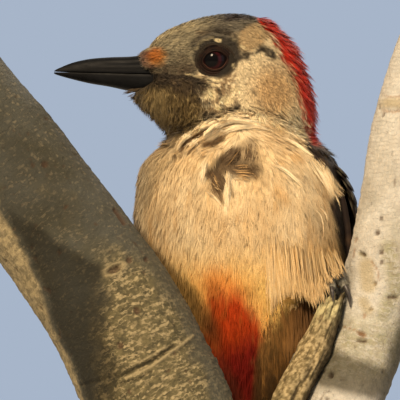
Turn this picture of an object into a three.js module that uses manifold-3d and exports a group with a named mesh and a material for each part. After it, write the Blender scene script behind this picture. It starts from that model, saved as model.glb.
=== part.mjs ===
// A life-size model of a female West Indian woodpecker clinging to a forked branch, on a display stand.
// Units are millimetres, +Z is up, and the origin is the centre of the stand base's underside.
// The bird's breast faces -Y, turned a little towards -X, and its head is turned so that the bill
// points along -X.
import * as THREE from "three";
import { mergeVertices } from "three/addons/utils/BufferGeometryUtils.js";
import Module from "manifold-3d";

const wasm = await Module();
wasm.setup();

// ---- Driving dimensions -------------------------------------------------------------------------
const GAP = 0.3; // clearance left between neighbouring pieces
const HEAD_AT = [-6.1, 19, 255.6]; // middle of the head, between the eyes
const BODY_TURN = THREE.MathUtils.degToRad(12); // how far the breast is turned from -Y towards -X
const BILL_ROOT = 20; // where the bill leaves the face, forward of the eyes
const BILL_TIP = 47.7;
const EYE = { forward: -0.5, side: 7.5, up: -0.4, radius: 5.5 };
const TRUNK_AXIS = [3.4, 24]; // the line about which the wings turn with the body
const BASE = { width: 190, depth: 150, height: 14, corner: 18, bevel: 2 };
const STEM_FOOT = 40; // height of the cut underside of the branch
const ROD = { radius: 4, spread: 13, y: -17 };
const SIDES = 22; // facets round the body
const LIMB_SIDES = 16;

// ---- Solids -------------------------------------------------------------------------------------
const vec = (p) => new THREE.Vector3(...p);

// A closed three.js geometry as a solid that can be joined and cut.
function toSolid(geometry) {
  const bare = geometry.clone();
  bare.deleteAttribute("normal");
  bare.deleteAttribute("uv");
  const merged = mergeVertices(bare, 1e-4);
  return new wasm.Manifold(
    new wasm.Mesh({
      numProp: 3,
      vertProperties: merged.attributes.position.array,
      triVerts: new Uint32Array(merged.index.array),
    }),
  );
}

function toGeometry(solid) {
  const mesh = solid.getMesh();
  const count = mesh.vertProperties.length / mesh.numProp;
  const places = new Float32Array(count * 3);
  for (let i = 0; i < count; i++)
    places.set(mesh.vertProperties.subarray(i * mesh.numProp, i * mesh.numProp + 3), i * 3);
  return new THREE.BufferGeometry()
    .setAttribute("position", new THREE.BufferAttribute(places, 3))
    .setIndex(new THREE.BufferAttribute(mesh.triVerts, 1));
}

// Rings of points, each running the same way round, joined into one closed skin with a fan over each end.
function loft(rings) {
  const sides = rings[0].length;
  const places = rings.flat();
  const middle = (ring) => ring.reduce((sum, p) => sum.add(p), new THREE.Vector3()).divideScalar(sides);
  const start = places.push(middle(rings[0])) - 1;
  const end = places.push(middle(rings.at(-1))) - 1;
  const last = (rings.length - 1) * sides;
  const index = [];
  for (let j = 0; j < sides; j++) {
    const k = (j + 1) % sides;
    index.push(start, k, j, end, last + j, last + k);
    for (let i = 0; i < last; i += sides)
      index.push(i + j, i + k, i + sides + k, i + j, i + sides + k, i + sides + j);
  }
  const solid = toSolid(new THREE.BufferGeometry().setFromPoints(places).setIndex(index));
  return solid.volume() > 0 ? solid : loft(rings.map((ring) => ring.toReversed()));
}

// A smooth run of values through a list of rows, asked for by a share from 0 to 1 of the way along.
function through(rows) {
  const parts = [];
  for (let k = 0; k < rows[0].length; k += 3) {
    const points = rows.map((row) => new THREE.Vector3(row[k], row[k + 1] ?? 0, row[k + 2] ?? 0));
    parts.push(new THREE.CatmullRomCurve3(points, false, "catmullrom", 0.5));
  }
  return (share) => parts.flatMap((curve) => curve.getPoint(share).toArray()).slice(0, rows[0].length);
}

// A tapered tube along a smooth path. radii follow the path; flat below 1 squeezes the tube sideways to up.
function tube(points, radii, { steps = 10, sides = 8, flat = 1, up = [0, 0, 1], from = 0, to = 1 } = {}) {
  const path = new THREE.CatmullRomCurve3(points.map(vec), false, "catmullrom", 0.5);
  const radius = through(radii.map((r) => [r]));
  const rings = [];
  for (let i = 0; i <= steps; i++) {
    const share = from + ((to - from) * i) / steps;
    const along = path.getTangent(share);
    const across = new THREE.Vector3().crossVectors(vec(up), along).normalize();
    const over = new THREE.Vector3().crossVectors(along, across);
    const at = path.getPoint(share);
    const r = radius(share)[0];
    const ring = [];
    for (let j = 0; j < sides; j++) {
      const turn = (2 * Math.PI * j) / sides;
      ring.push(
        at.clone()
          .addScaledVector(across, r * flat * Math.cos(turn))
          .addScaledVector(over, r * Math.sin(turn)),
      );
    }
    rings.push(ring);
  }
  return loft(rings);
}

// A solid less each of the others.
const clearOf = (solid, others) => others.reduce((left, other) => left.subtract(other), solid);

// ---- Head and neck, in the head's own frame: x forward along the bill, y to the bird's left, z up 
// Each row is one slice: crown x, z; throat x, z; half width; share of the way up to its widest line.
const HEAD_SLICES = [
  [23.4, -1.6, 24.4, -6.4, 2.2, 0.5],
  [22.4, 1.2, 24.0, -9.0, 4.9, 0.5],
  [19.2, 4.7, 22.3, -12.2, 7.3, 0.5],
  [14.8, 8.9, 20.0, -15.0, 9.2, 0.5],
  [7.6, 12.0, 17.6, -17.7, 10.7, 0.5],
  [0.0, 14.0, 15.7, -19.9, 11.8, 0.46],
  [-9.0, 14.3, 14.2, -21.7, 13.2, 0.45],
  [-18.0, 11.2, 13.3, -23.2, 14.8, 0.47],
  [-25.0, 4.0, 12.9, -24.8, 15.8, 0.48],
  [-29.4, -7.0, 13.1, -27.4, 17.2, 0.5],
  [-31.3, -20.0, 13.8, -31.0, 18.6, 0.5],
  [-29.0, -34.0, 12.0, -38.0, 16.0, 0.5],
];
const HEAD_STEPS = 17;
const HEAD_ROUND = 0.92; // below 1 the slices bulge a little past an ellipse
const NECK_CUT = { low: [13.0, -24.0], high: [-23.5, 6.2] }; // the head ends on the plane through these x, z

function headRings() {
  const slice = through(HEAD_SLICES);
  const rings = [];
  for (let i = 0; i <= HEAD_STEPS; i++) {
    const [crownX, crownZ, throatX, throatZ, wide, level] = slice(i / HEAD_STEPS);
    const crown = new THREE.Vector3(crownX, 0, crownZ);
    const throat = new THREE.Vector3(throatX, 0, throatZ);
    const middle = throat.clone().lerp(crown, level);
    const ring = [];
    for (let j = 0; j < SIDES; j++) {
      const turn = (2 * Math.PI * j) / SIDES;
      const side = Math.cos(turn) > 0 ? throat : crown;
      const place = middle.clone().lerp(side, Math.abs(Math.cos(turn)));
      place.y = wide * Math.sign(Math.sin(turn)) * Math.abs(Math.sin(turn)) ** HEAD_ROUND;
      ring.push(place);
    }
    rings.push(ring);
  }
  return rings;
}

// ---- Bill: two horn halves that meet along the gape ---------------------------------------------
// Each row: distance forward, height of the culmen, height of the lower edge, half width.
const BILL_SLICES = [
  [BILL_ROOT, 1.9, -9.9, 5.2],
  [25, 1.2, -9.0, 4.5],
  [31, 1.0, -7.7, 3.7],
  [37, 0.5, -6.7, 2.8],
  [42.5, -0.7, -5.4, 1.9],
  [46.4, -2.2, -4.3, 1.1],
  [BILL_TIP, -2.9, -3.8, 0.55],
];
const BILL_STEPS = 12;
const BILL_ARC = 8; // facets over each half
const BILL_ROUND = 0.85;
const GAPE = { tip: -3.25, slope: 0.036 }; // the line between the halves sinks a little towards the face
const gapeHeight = (x) => GAPE.tip - (BILL_TIP - x) * GAPE.slope;

function billHalf(upper) {
  const slice = through(BILL_SLICES);
  const rings = [];
  for (let i = 0; i <= BILL_STEPS; i++) {
    const [x, top, bottom, wide] = slice(i / BILL_STEPS);
    const gape = gapeHeight(x) + (upper ? GAP / 2 : -GAP / 2);
    const height = (upper ? top : bottom) - gape;
    const ring = [];
    for (let j = 0; j <= BILL_ARC; j++) {
      const turn = (Math.PI * j) / BILL_ARC;
      ring.push(new THREE.Vector3(x, wide * Math.cos(turn), gape + height * Math.sin(turn) ** BILL_ROUND));
    }
    rings.push(ring);
  }
  return loft(rings);
}

// ---- Trunk: level slices from the collar to the feathers under the tail -------------------------
// Each row: height, middle x, middle y, half width, depth in front, depth behind.
const TRUNK_SLICES = [
  [240.6, 2.0, 17.5, 4.0, 4.0, 4.0],
  [238.6, 2.0, 17.5, 12.0, 11.5, 10.0],
  [234.8, 2.0, 18.0, 18.8, 18.0, 16.0],
  [230.0, 0.8, 19.0, 24.4, 22.0, 20.5],
  [224.0, 0.8, 20.5, 28.8, 25.0, 24.0],
  [215.0, 1.4, 22.0, 32.0, 27.6, 26.4],
  [203.0, 2.1, 23.0, 33.0, 28.8, 27.2],
  [190.0, 2.8, 24.0, 32.2, 28.2, 26.2],
  [176.0, 3.6, 25.4, 28.8, 26.2, 24.2],
  [162.0, 4.0, 27.2, 24.8, 22.6, 21.4],
  [149.0, 4.0, 29.2, 20.0, 17.6, 18.0],
  [137.0, 4.2, 31.0, 15.4, 12.8, 14.0],
  [125.0, 4.4, 31.0, 11.6, 9.2, 10.2],
  [113.0, 4.6, 28.6, 8.6, 6.0, 6.8],
  [104.0, 4.7, 26.2, 5.0, 3.2, 3.8],
];
const TRUNK_STEPS = 20;
const trunkSlice = through(TRUNK_SLICES);

// The point of the trunk at a share of the way down and a turn from the breast towards the bird's left.
function trunkPoint(share, turn, grow) {
  const [z, x, y, wide, front, back] = trunkSlice(share);
  const side = (wide + grow) * Math.sin(turn);
  const fore = ((Math.cos(turn) > 0 ? front : back) + grow) * Math.cos(turn);
  return new THREE.Vector3(
    x + side * Math.cos(BODY_TURN) - fore * Math.sin(BODY_TURN),
    y - side * Math.sin(BODY_TURN) - fore * Math.cos(BODY_TURN),
    z,
  );
}

function trunkSolid(grow = 0) {
  const rings = [];
  for (let i = 0; i <= TRUNK_STEPS; i++) {
    const ring = [];
    for (let j = 0; j < SIDES; j++) ring.push(trunkPoint(i / TRUNK_STEPS, (2 * Math.PI * j) / SIDES, grow));
    rings.push(ring);
  }
  return loft(rings);
}

// ---- Wings: curved plates folded over the flanks, from the wrist to the crossed tips over the tail 
// Each row: height; lower edge x, y; upper edge x, y; outward swell; thickness. For the left wing,
// before the body's turn, measured from the trunk's middle plane.
const WING_SLICES = [
  [227.0, 21.0, 17.0, 14.0, 33.0, 3.4, 3.4],
  [219.0, 27.6, 12.6, 13.0, 43.6, 7.6, 5.4],
  [208.0, 31.4, 13.4, 11.0, 49.6, 9.8, 6.0],
  [192.0, 32.2, 15.6, 7.4, 52.0, 10.8, 6.0],
  [174.0, 30.0, 20.0, 4.2, 51.4, 10.4, 5.6],
  [156.0, 25.6, 26.6, 2.4, 49.8, 8.6, 5.0],
  [138.0, 20.0, 33.0, 1.6, 46.2, 5.4, 4.0],
  [120.0, 14.6, 34.8, 1.2, 40.6, 3.0, 3.0],
  [102.0, 10.4, 31.6, 1.0, 34.6, 1.6, 2.2],
  [88.0, 6.8, 28.6, 1.0, 30.4, 0.8, 1.6],
];
const WING_STEPS = 13;
const WING_FACETS = 6;
const WING_EDGE = 0.08; // how far into the arch the edges lie
const WING_EDGE_THICK = 0.4;
const PRIMARY_CUT = 150; // the wing above this is coverts and secondaries, below it the bunched primaries

function wingSolid(side) {
  const slice = through(WING_SLICES);
  const rings = [];
  for (let i = 0; i <= WING_STEPS; i++) {
    const [z, lowX, lowY, highX, highY, swell, thick] = slice(i / WING_STEPS);
    const low = new THREE.Vector2(lowX, lowY);
    const high = new THREE.Vector2(highX, highY);
    const out = new THREE.Vector2(highY - lowY, lowX - highX).normalize();
    const ring = [];
    for (const depth of [0, 1])
      for (let j = 0; j <= WING_FACETS; j++) {
        const share = depth ? 1 - j / WING_FACETS : j / WING_FACETS;
        const arch = Math.sin(Math.PI * THREE.MathUtils.lerp(WING_EDGE, 1 - WING_EDGE, share));
        const place = low.clone().lerp(high, share);
        place.addScaledVector(out, swell * arch - depth * (WING_EDGE_THICK + thick * arch));
        ring.push(turned(side * place.x, place.y, z));
      }
    rings.push(ring);
  }
  return loft(rings);
}

// A point given beside the trunk's middle plane, turned with the body about the trunk's middle.
function turned(side, back, z) {
  const [x, y] = TRUNK_AXIS;
  const fore = y - back;
  return new THREE.Vector3(
    x + side * Math.cos(BODY_TURN) - fore * Math.sin(BODY_TURN),
    y - side * Math.sin(BODY_TURN) - fore * Math.cos(BODY_TURN),
    z,
  );
}

// ---- Tail: a stiff graduated fan, roofed over its middle feathers, braced against the stem ------
// Each row: height, middle y, half width, half thickness.
const TAIL_SLICES = [
  [136.0, 33.4, 7.0, 2.2],
  [122.0, 31.4, 10.0, 2.2],
  [106.0, 27.6, 12.4, 1.9],
  [90.0, 23.4, 14.0, 1.6],
  [76.0, 19.6, 14.0, 1.4],
  [64.0, 16.2, 11.4, 1.3],
  [54.0, 13.2, 6.6, 1.1],
  [47.5, 11.2, 2.2, 0.8],
];
const TAIL_X = 4.6;
const TAIL_STEPS = 12;
const TAIL_FACETS = 6;
const TAIL_ROOF = 0.1; // droop of the sides forward of the middle feathers, over the half width
const TAIL_THINNING = 0.55; // how much thinner the sides are than the middle

function tailSolid(grow = 0) {
  const slice = through(TAIL_SLICES);
  const rings = [];
  for (let i = 0; i <= TAIL_STEPS; i++) {
    const [z, y, wide, thick] = slice(i / TAIL_STEPS);
    const ring = [];
    for (const face of [1, -1])
      for (let j = 0; j <= TAIL_FACETS; j++) {
        const across = face * (1 - (2 * j) / TAIL_FACETS);
        const roof = -TAIL_ROOF * wide * across ** 2;
        const edge = (thick + grow) * face * (1 - TAIL_THINNING * across ** 4);
        ring.push(new THREE.Vector3(TAIL_X + (wide + grow) * across, y + roof + edge, z));
      }
    rings.push(ring);
  }
  return loft(rings);
}

// ---- The branch: a stem with two limbs and a broken dead stub -----------------------------------
const LIMB_LEFT_PATH = [
  [7, -17, STEM_FOOT], [6.5, -17.4, 72], [3, -17.6, 104], [-8.6, -17, 133], [-22.9, -13.4, 154.5],
  [-33.4, -9.6, 176], [-45.2, -6, 194], [-60, -2.8, 213.5], [-78, 1.2, 236], [-98, 6, 260],
];
const LIMB_LEFT_RADII = [26.4, 25.2, 24.2, 22, 20.6, 20, 19.3, 19.2, 19.2, 19.2];
const LIMB_RIGHT_PATH = [
  [11, -17, 56], [16, -16, 84], [21, -13.4, 110], [27.6, -9, 137], [34.4, -4, 157],
  [39.4, -0.8, 169], [43.2, 1.8, 182], [47.6, 4, 206], [53.8, 6, 238], [64.4, 8, 271],
];
const LIMB_RIGHT_RADII = [18.6, 18.6, 16.4, 12.6, 10.8, 10.6, 11.2, 11.4, 11.4, 11.4];
const STUB_PATH = [[8, -14, 134], [16.7, -11, 154.8], [24.4, -7.6, 169.8], [29.8, -4.8, 184]];
const STUB_RADII = [5.6, 5.2, 4.4, 3.2];
const FORK_CUT_LEFT = { at: [-17, -15, 145], along: [-0.55, 0.14, 0.82] };
const FORK_CUT_RIGHT = { at: [30, -7, 144], along: [0.3, 0.24, 0.92] };

function branchLimb(path, radii, grow, steps, sides = LIMB_SIDES) {
  return tube(path, radii.map((r) => r + grow), { steps, sides, up: [0, 1, 0] });
}

const limbLeft = (grow = 0) => branchLimb(LIMB_LEFT_PATH, LIMB_LEFT_RADII, grow, 15);
const limbRight = (grow = 0) => branchLimb(LIMB_RIGHT_PATH, LIMB_RIGHT_RADII, grow, 16);
const stub = (grow = 0) => branchLimb(STUB_PATH, STUB_RADII, grow, 9, 12);

// The half of a solid on one side of a plane through at, less half the gap.
function halfOf(solid, { at, along }, sign) {
  const normal = vec(along).normalize().multiplyScalar(sign);
  return solid.trimByPlane(normal.toArray(), normal.dot(vec(at)) + GAP / 2);
}

// ---- Legs ---------------------------------------------------------------------------------------
// Each toe's path starts at the pad and carries on into its claw, which starts at the share given.
const LEGS = {
  left: {
    thigh: [[13, 21, 177], [16.5, 12, 172], [19.4, 3.4, 167.6]],
    ankle: [19.4, 1.6, 166.6],
    pad: [28.2, 1.2, 188.4],
    toes: [
      {
        claw: 0.6,
        path: [[30.2, 2.5, 185.3], [30.1, 4, 181.8], [31.3, 5.6, 178.4]],
      },
      {
        claw: 0.68,
        path: [[28.2, -2.2, 189], [28.5, -5.4, 188], [28.9, -8.2, 185.6], [29.2, -9, 182.4]],
      },
      {
        claw: 0.58,
        path: [[29.6, -2, 189.2], [32.2, -5.2, 187.8], [33.8, -6.8, 184.6], [34.3, -6.9, 180.8]],
      },
      {
        claw: 0.7,
        path: [[31.2, 3.5, 190.2], [33.1, 8.5, 191.6], [36.8, 12.8, 192.6], [41.5, 14.3, 192.2]],
      },
    ],
  },
  right: {
    thigh: [[-3, 20, 168], [-6.6, 12.4, 163.2], [-9, 7.6, 160]],
    ankle: [-9.4, 6.4, 158.8],
    pad: [-15.8, 4.8, 177.8],
    toes: [
      {
        claw: 0.62,
        path: [[-13.5, 3, 175.1], [-11.8, 1.8, 172.1], [-10.5, 0.9, 169.7], [-10.3, -0.5, 167.9]],
      },
      {
        claw: 0.7,
        path: [[-16.9, 3.4, 182.6], [-19.1, 2.5, 187.3], [-20.5, 2.3, 191.2], [-22.8, 1.4, 192.9]],
      },
      {
        claw: 0.68,
        path: [[-20.2, 5.6, 184.2], [-23.9, 6.2, 190.3], [-25.8, 6.7, 193.8], [-28, 5.9, 195.7]],
      },
      {
        claw: 0.7,
        path: [[-19.8, 8, 177.4], [-26.3, 10.9, 176.9], [-31.9, 12.3, 176.5], [-35.3, 11.5, 176.5]],
      },
    ],
  },
};
const PAD_RADIUS = 2.1;
const THIGH_RADII = [11.5, 7.4, 3];
const TARSUS_RADII = [2.1, 1.55, 1.45, 1.8];
const TARSUS_END = 0.85; // share of the shank where the tarsus meets the foot
const TARSUS_BOW = 0.8; // how far the shank bows back
const TOE_RADII = [1.7, 1.35, 1.25, 1.1, 1.05];
const CLAW_RADII = [1.0, 0.85, 0.6, 0.25];
const CLAW_FLAT = 0.7; // a claw is narrower than it is deep
const JOINT_SHARE = 0.0125; // half the gap between two lengths of one path, as a share of the path
const SKEW = [0.35, 1, 0.2]; // a direction that no toe runs along

// The toes and the pad they spring from, as one solid.
function toesOf({ pad, toes }, grow = 0) {
  const ball = new THREE.SphereGeometry(PAD_RADIUS + grow, 8, 6).translate(...pad);
  const radii = TOE_RADII.map((r) => r + grow);
  return toes
    .map(({ path, claw }) => tube([pad, ...path], radii, { steps: 6, sides: 6, to: claw, up: SKEW }))
    .reduce((joined, toe) => joined.add(toe), toSolid(ball));
}

// A claw takes its radii from where it starts, so each point of the path is given the radius it has there.
function clawOf(pad, { path, claw }, grow = 0) {
  const points = [pad, ...path];
  const start = claw + 2 * JOINT_SHARE;
  const clawRadius = through(CLAW_RADII.map((r) => [r]));
  const radii = points.map((_, i) => {
    const share = (i / (points.length - 1) - start) / (1 - start);
    return clawRadius(THREE.MathUtils.clamp(share, 0, 1))[0] + grow;
  });
  return tube(points, radii, { steps: 5, sides: 6, from: start, flat: CLAW_FLAT, up: SKEW });
}

// The shank, from the ankle to the pad, or the share of it between from and to.
function shank({ ankle, pad }, { grow = 0, from = 0, to = 1 } = {}) {
  const bow = vec(ankle).lerp(vec(pad), 0.5).add(new THREE.Vector3(0, TARSUS_BOW, 0));
  const knee = vec(ankle).lerp(bow, 0.6);
  const radii = TARSUS_RADII.map((r) => r + grow);
  return tube([ankle, knee.toArray(), bow.toArray(), pad], radii, { steps: 6, up: [1, 0, 0], from, to });
}

// The room a whole foot needs among the feathers.
function footRoom(leg) {
  const claws = leg.toes.map((toe) => clawOf(leg.pad, toe, GAP));
  return claws.reduce((joined, claw) => joined.add(claw), toesOf(leg, GAP).add(shank(leg, { grow: GAP })));
}

function legPieces(leg, perch) {
  return {
    thigh: tube(leg.thigh, THIGH_RADII, { steps: 6, sides: 12, up: [1, 0, 0] }),
    tarsus: clearOf(shank(leg, { to: TARSUS_END - JOINT_SHARE }), [toesOf(leg, GAP), ...perch]),
    foot: clearOf(toesOf(leg).add(shank(leg, { from: TARSUS_END + JOINT_SHARE })), perch),
    claws: leg.toes.map((toe) => clearOf(clawOf(leg.pad, toe), perch)),
  };
}

// ---- Stand --------------------------------------------------------------------------------------
function standBase() {
  const { width, depth, height, corner, bevel } = BASE;
  const [x, y] = [width / 2 - bevel, depth / 2 - bevel];
  const outline = new THREE.Shape();
  outline.moveTo(-x + corner, -y);
  for (const [cx, cy, start] of [[1, -1, -90], [1, 1, 0], [-1, 1, 90], [-1, -1, 180]]) {
    const from = THREE.MathUtils.degToRad(start);
    outline.absarc(cx * (x - corner), cy * (y - corner), corner, from, from + Math.PI / 2);
  }
  outline.closePath();
  const bevels = { bevelThickness: bevel, bevelSize: bevel, bevelSegments: 2 };
  const options = { depth: height - bevel, curveSegments: 5, ...bevels };
  const slab = toSolid(new THREE.ExtrudeGeometry(outline, options));
  // The bevel is wanted on the upper edge only, so the lower one is cut away.
  return slab.trimByPlane([0, 0, 1], 0);
}

function standRod() {
  const height = STEM_FOOT - BASE.height;
  return new THREE.CylinderGeometry(ROD.radius, ROD.radius, height, 16).rotateX(Math.PI / 2);
}

// ---- Materials ----------------------------------------------------------------------------------
const finish = (color, roughness, metalness = 0) =>
  new THREE.MeshStandardMaterial({ color, roughness, metalness });
const MATERIALS = {
  face: finish(0xc9b08a, 0.9),
  breast: finish(0xd9b880, 0.9),
  wing: finish(0x2b2622, 0.7),
  tail: finish(0x1f1c1a, 0.7),
  horn: finish(0x26262a, 0.35),
  eye: finish(0x3a1414, 0.1),
  leg: finish(0x8d8a7c, 0.6),
  bark: finish(0xa39a84, 0.95),
  deadwood: finish(0xa88f68, 0.95),
  plinth: finish(0x4a3526, 0.5),
  steel: finish(0x9a9a9c, 0.3, 1),
};

// ---- Assembly -----------------------------------------------------------------------------------
const woodpecker = new THREE.Group();

function place(group, name, shape, material) {
  const geometry = shape.isBufferGeometry ? shape : toGeometry(shape);
  geometry.computeVertexNormals();
  const mesh = new THREE.Mesh(geometry, material);
  mesh.name = name;
  group.add(mesh);
  return mesh;
}

// The head group holds what is made in the head's own frame.
const headGroup = new THREE.Group();
headGroup.position.set(...HEAD_AT);
headGroup.rotation.z = Math.PI;
headGroup.updateMatrixWorld(true);
woodpecker.add(headGroup);

const trunkInHead = trunkSolid(GAP).transform(headGroup.matrixWorld.clone().invert().elements);
const headAndNeck = loft(headRings());
const low = new THREE.Vector3(NECK_CUT.low[0], 0, NECK_CUT.low[1]);
const slope = new THREE.Vector3(NECK_CUT.high[0], 0, NECK_CUT.high[1]).sub(low);
const neckPlane = { at: low.toArray(), along: [slope.z, 0, -slope.x] };

let head = halfOf(headAndNeck, neckPlane, 1).subtract(trunkInHead);
head = halfOf(head, { at: [BILL_ROOT - GAP, 0, 0], along: [1, 0, 0] }, -1);
for (const [name, side] of [["eye_left", 1], ["eye_right", -1]]) {
  const { forward, side: apart, up, radius } = EYE;
  const socket = new THREE.SphereGeometry(radius + GAP, 12, 9).translate(forward, side * apart, up);
  head = head.subtract(toSolid(socket));
  const eye = place(headGroup, name, new THREE.SphereGeometry(radius, 12, 9), MATERIALS.eye);
  eye.position.set(forward, side * apart, up);
}
place(headGroup, "head", head, MATERIALS.face);
place(headGroup, "bill_upper", billHalf(true), MATERIALS.horn);
place(headGroup, "bill_lower", billHalf(false), MATERIALS.horn);
place(headGroup, "neck", halfOf(headAndNeck, neckPlane, -1).subtract(trunkInHead), MATERIALS.face);

// The branch, joined at the fork and parted again into stem, limbs and stub.
const fork = limbLeft().add(limbRight());
place(woodpecker, "perch_limb_left", halfOf(limbLeft(), FORK_CUT_LEFT, 1), MATERIALS.bark);
place(woodpecker, "perch_limb_right", halfOf(limbRight(), FORK_CUT_RIGHT, 1), MATERIALS.bark);
const stem = halfOf(halfOf(fork, FORK_CUT_LEFT, -1), FORK_CUT_RIGHT, -1);
place(woodpecker, "perch_stem", stem.trimByPlane([0, 0, 1], STEM_FOOT), MATERIALS.bark);
const forkGrown = [limbLeft(GAP), limbRight(GAP)];
place(woodpecker, "perch_stub", clearOf(stub(), forkGrown), MATERIALS.deadwood);
const perchGrown = [...forkGrown, stub(GAP)];

// Trunk, wings and tail.
place(woodpecker, "trunk", clearOf(trunkSolid(), [...perchGrown, footRoom(LEGS.right)]), MATERIALS.breast);
const tail = clearOf(tailSolid(), [trunkSolid(GAP), ...perchGrown]);
place(woodpecker, "tail", tail, MATERIALS.tail);
const neckInWorld = headAndNeck.transform(headGroup.matrixWorld.elements);
const primaryPlane = { at: [0, 0, PRIMARY_CUT], along: [0, 0, 1] };
for (const [side, sign] of [["left", 1], ["right", -1]]) {
  const around = [trunkSolid(GAP), tailSolid(GAP), neckInWorld, footRoom(LEGS[side]), ...perchGrown];
  const wing = clearOf(wingSolid(sign), around);
  place(woodpecker, `wing_${side}`, halfOf(wing, primaryPlane, 1), MATERIALS.wing);
  place(woodpecker, `primaries_${side}`, halfOf(wing, primaryPlane, -1), MATERIALS.wing);
}

// Legs, feet and claws.
for (const [side, leg] of Object.entries(LEGS)) {
  const { thigh, tarsus, foot, claws } = legPieces(leg, perchGrown);
  const shownThigh = clearOf(thigh, [trunkSolid(GAP), shank(leg, { grow: GAP }), ...perchGrown]);
  place(woodpecker, `thigh_${side}`, shownThigh, MATERIALS.breast);
  place(woodpecker, `tarsus_${side}`, tarsus.subtract(trunkSolid(GAP)), MATERIALS.leg);
  place(woodpecker, `foot_${side}`, foot, MATERIALS.leg);
  claws.forEach((claw, i) => place(woodpecker, `claw_${side}_${i + 1}`, claw, MATERIALS.horn));
}

// Stand.
place(woodpecker, "stand_base", standBase(), MATERIALS.plinth);
for (const [name, sign] of [["stand_rod_left", -1], ["stand_rod_right", 1]]) {
  const rod = place(woodpecker, name, standRod(), MATERIALS.steel);
  rod.position.set(LIMB_LEFT_PATH[0][0] + sign * ROD.spread, ROD.y, (STEM_FOOT + BASE.height) / 2);
}

export default woodpecker;
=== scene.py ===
"""The looks of a female West Indian woodpecker clinging to a forked branch, on a display stand.

Lengths inside the shape functions are millimetres and become metres where a mesh is made. Every surface is
a numpy grid or a whole-array scatter of small vanes over the skin.
"""

import math

import bpy
import numpy as np
from bpy.props import FloatProperty, FloatVectorProperty, IntProperty, PointerProperty
from bpy.types import Operator, Panel, PropertyGroup
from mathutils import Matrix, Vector


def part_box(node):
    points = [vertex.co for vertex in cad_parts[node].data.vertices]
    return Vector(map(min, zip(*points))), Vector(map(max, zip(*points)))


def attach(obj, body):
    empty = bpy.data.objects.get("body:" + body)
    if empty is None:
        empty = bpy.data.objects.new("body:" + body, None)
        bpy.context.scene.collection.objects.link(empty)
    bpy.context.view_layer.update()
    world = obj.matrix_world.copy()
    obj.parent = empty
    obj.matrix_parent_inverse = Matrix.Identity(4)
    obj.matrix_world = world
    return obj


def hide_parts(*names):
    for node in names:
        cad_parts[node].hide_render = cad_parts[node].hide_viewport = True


bl_info = {
    "name": "Woodpecker on a forked branch",
    "version": (1, 0, 0),
    "blender": (4, 5, 0),
    "location": "3D View > Sidebar > Woodpecker",
    "description": "Builds a life-size woodpecker, its plumage, its perch and its stand",
    "category": "Add Mesh",
}

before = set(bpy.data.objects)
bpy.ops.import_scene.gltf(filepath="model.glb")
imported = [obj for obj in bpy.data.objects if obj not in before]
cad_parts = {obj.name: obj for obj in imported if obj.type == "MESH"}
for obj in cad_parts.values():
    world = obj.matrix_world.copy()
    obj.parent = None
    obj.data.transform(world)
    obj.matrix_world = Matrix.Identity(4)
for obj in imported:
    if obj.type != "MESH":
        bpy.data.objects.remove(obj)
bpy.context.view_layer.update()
MM = 0.001

# ---- Forms shared with the solids, in millimetres ------------------------------------------------
HEAD_AT = np.array([-6.1, 19, 255.6])  # between the eyes; the head's x runs forward along world -X
BODY_TURN = math.radians(12)
TURN_COS, TURN_SIN = math.cos(BODY_TURN), math.sin(BODY_TURN)
SLANT = 0.052  # how much a place shows higher for each millimetre that it stands nearer
FAR = 1e9
TRUNK_AXIS = np.array([3.4, 24])
BILL_ROOT, BILL_TIP = 20, 47.7
EYE_AT, EYE_RADIUS = np.array([-0.5, 7.5, -0.6]), 5.5

# crown x, z; throat x, z; half width; share of the way up to the widest line
HEAD_SLICES = [
    [23.4, -1.6, 24.4, -6.4, 2.2, 0.5], [22.4, 1.2, 24, -9, 4.9, 0.5], [19.2, 4.7, 22.3, -12.2, 7.3, 0.5],
    [14.8, 8.9, 20, -15, 9.2, 0.5], [7.6, 12, 17.6, -17.7, 10.7, 0.5], [0, 14, 15.7, -19.9, 11.8, 0.46],
    [-9, 14.3, 14.2, -21.7, 13.2, 0.45], [-18, 11.2, 13.3, -23.2, 14.8, 0.47],
    [-25, 4, 12.9, -24.8, 15.8, 0.48], [-29.4, -7, 13.1, -27.4, 17.2, 0.5],
    [-31.3, -20, 13.8, -31, 18.6, 0.5], [-29, -34, 12, -38, 16, 0.5],
]
HEAD_ROUND = 0.92
# height, middle x, middle y, half width, depth in front, depth behind
TRUNK_SLICES = [
    [240.6, 2, 17.5, 4, 4, 4], [238.6, 2, 17.5, 12, 11.5, 10], [234.8, 2, 18, 18.8, 18, 16],
    [230, 1.9, 19, 24.6, 22, 20.8], [224, 1.6, 20.5, 30.8, 25, 24.4], [215, 1.4, 22, 32, 27.6, 26.4],
    [203, 2.1, 23, 33, 28.8, 27.2], [190, 2.8, 24, 32.2, 28.2, 26.2], [176, 3.6, 25.4, 28.8, 26.2, 24.2],
    [162, 4, 27.2, 24.8, 22.6, 21.4], [149, 4, 29.2, 20, 17.6, 18], [137, 4.2, 31, 15.4, 12.8, 14],
    [125, 4.4, 31, 11.6, 9.2, 10.2], [113, 4.6, 28.6, 8.6, 6, 6.8], [104, 4.7, 26.2, 5, 3.2, 3.8],
]
# distance forward, height of the culmen, height of the lower edge, half width
BILL_SLICES = [
    [16, 1.6, -9.4, 7.4], [BILL_ROOT, 1.7, -9.8, 6.1], [25, 1.2, -9, 4.8], [31, 1, -7.7, 3.7],
    [37, 0.5, -6.7, 2.8], [42.5, -0.7, -5.4, 1.9], [46.4, -2.2, -4.3, 1.05], [BILL_TIP, -2.95, -3.8, 0.4],
]
GAPE_TIP, GAPE_SLOPE = -3.25, 0.036
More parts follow.
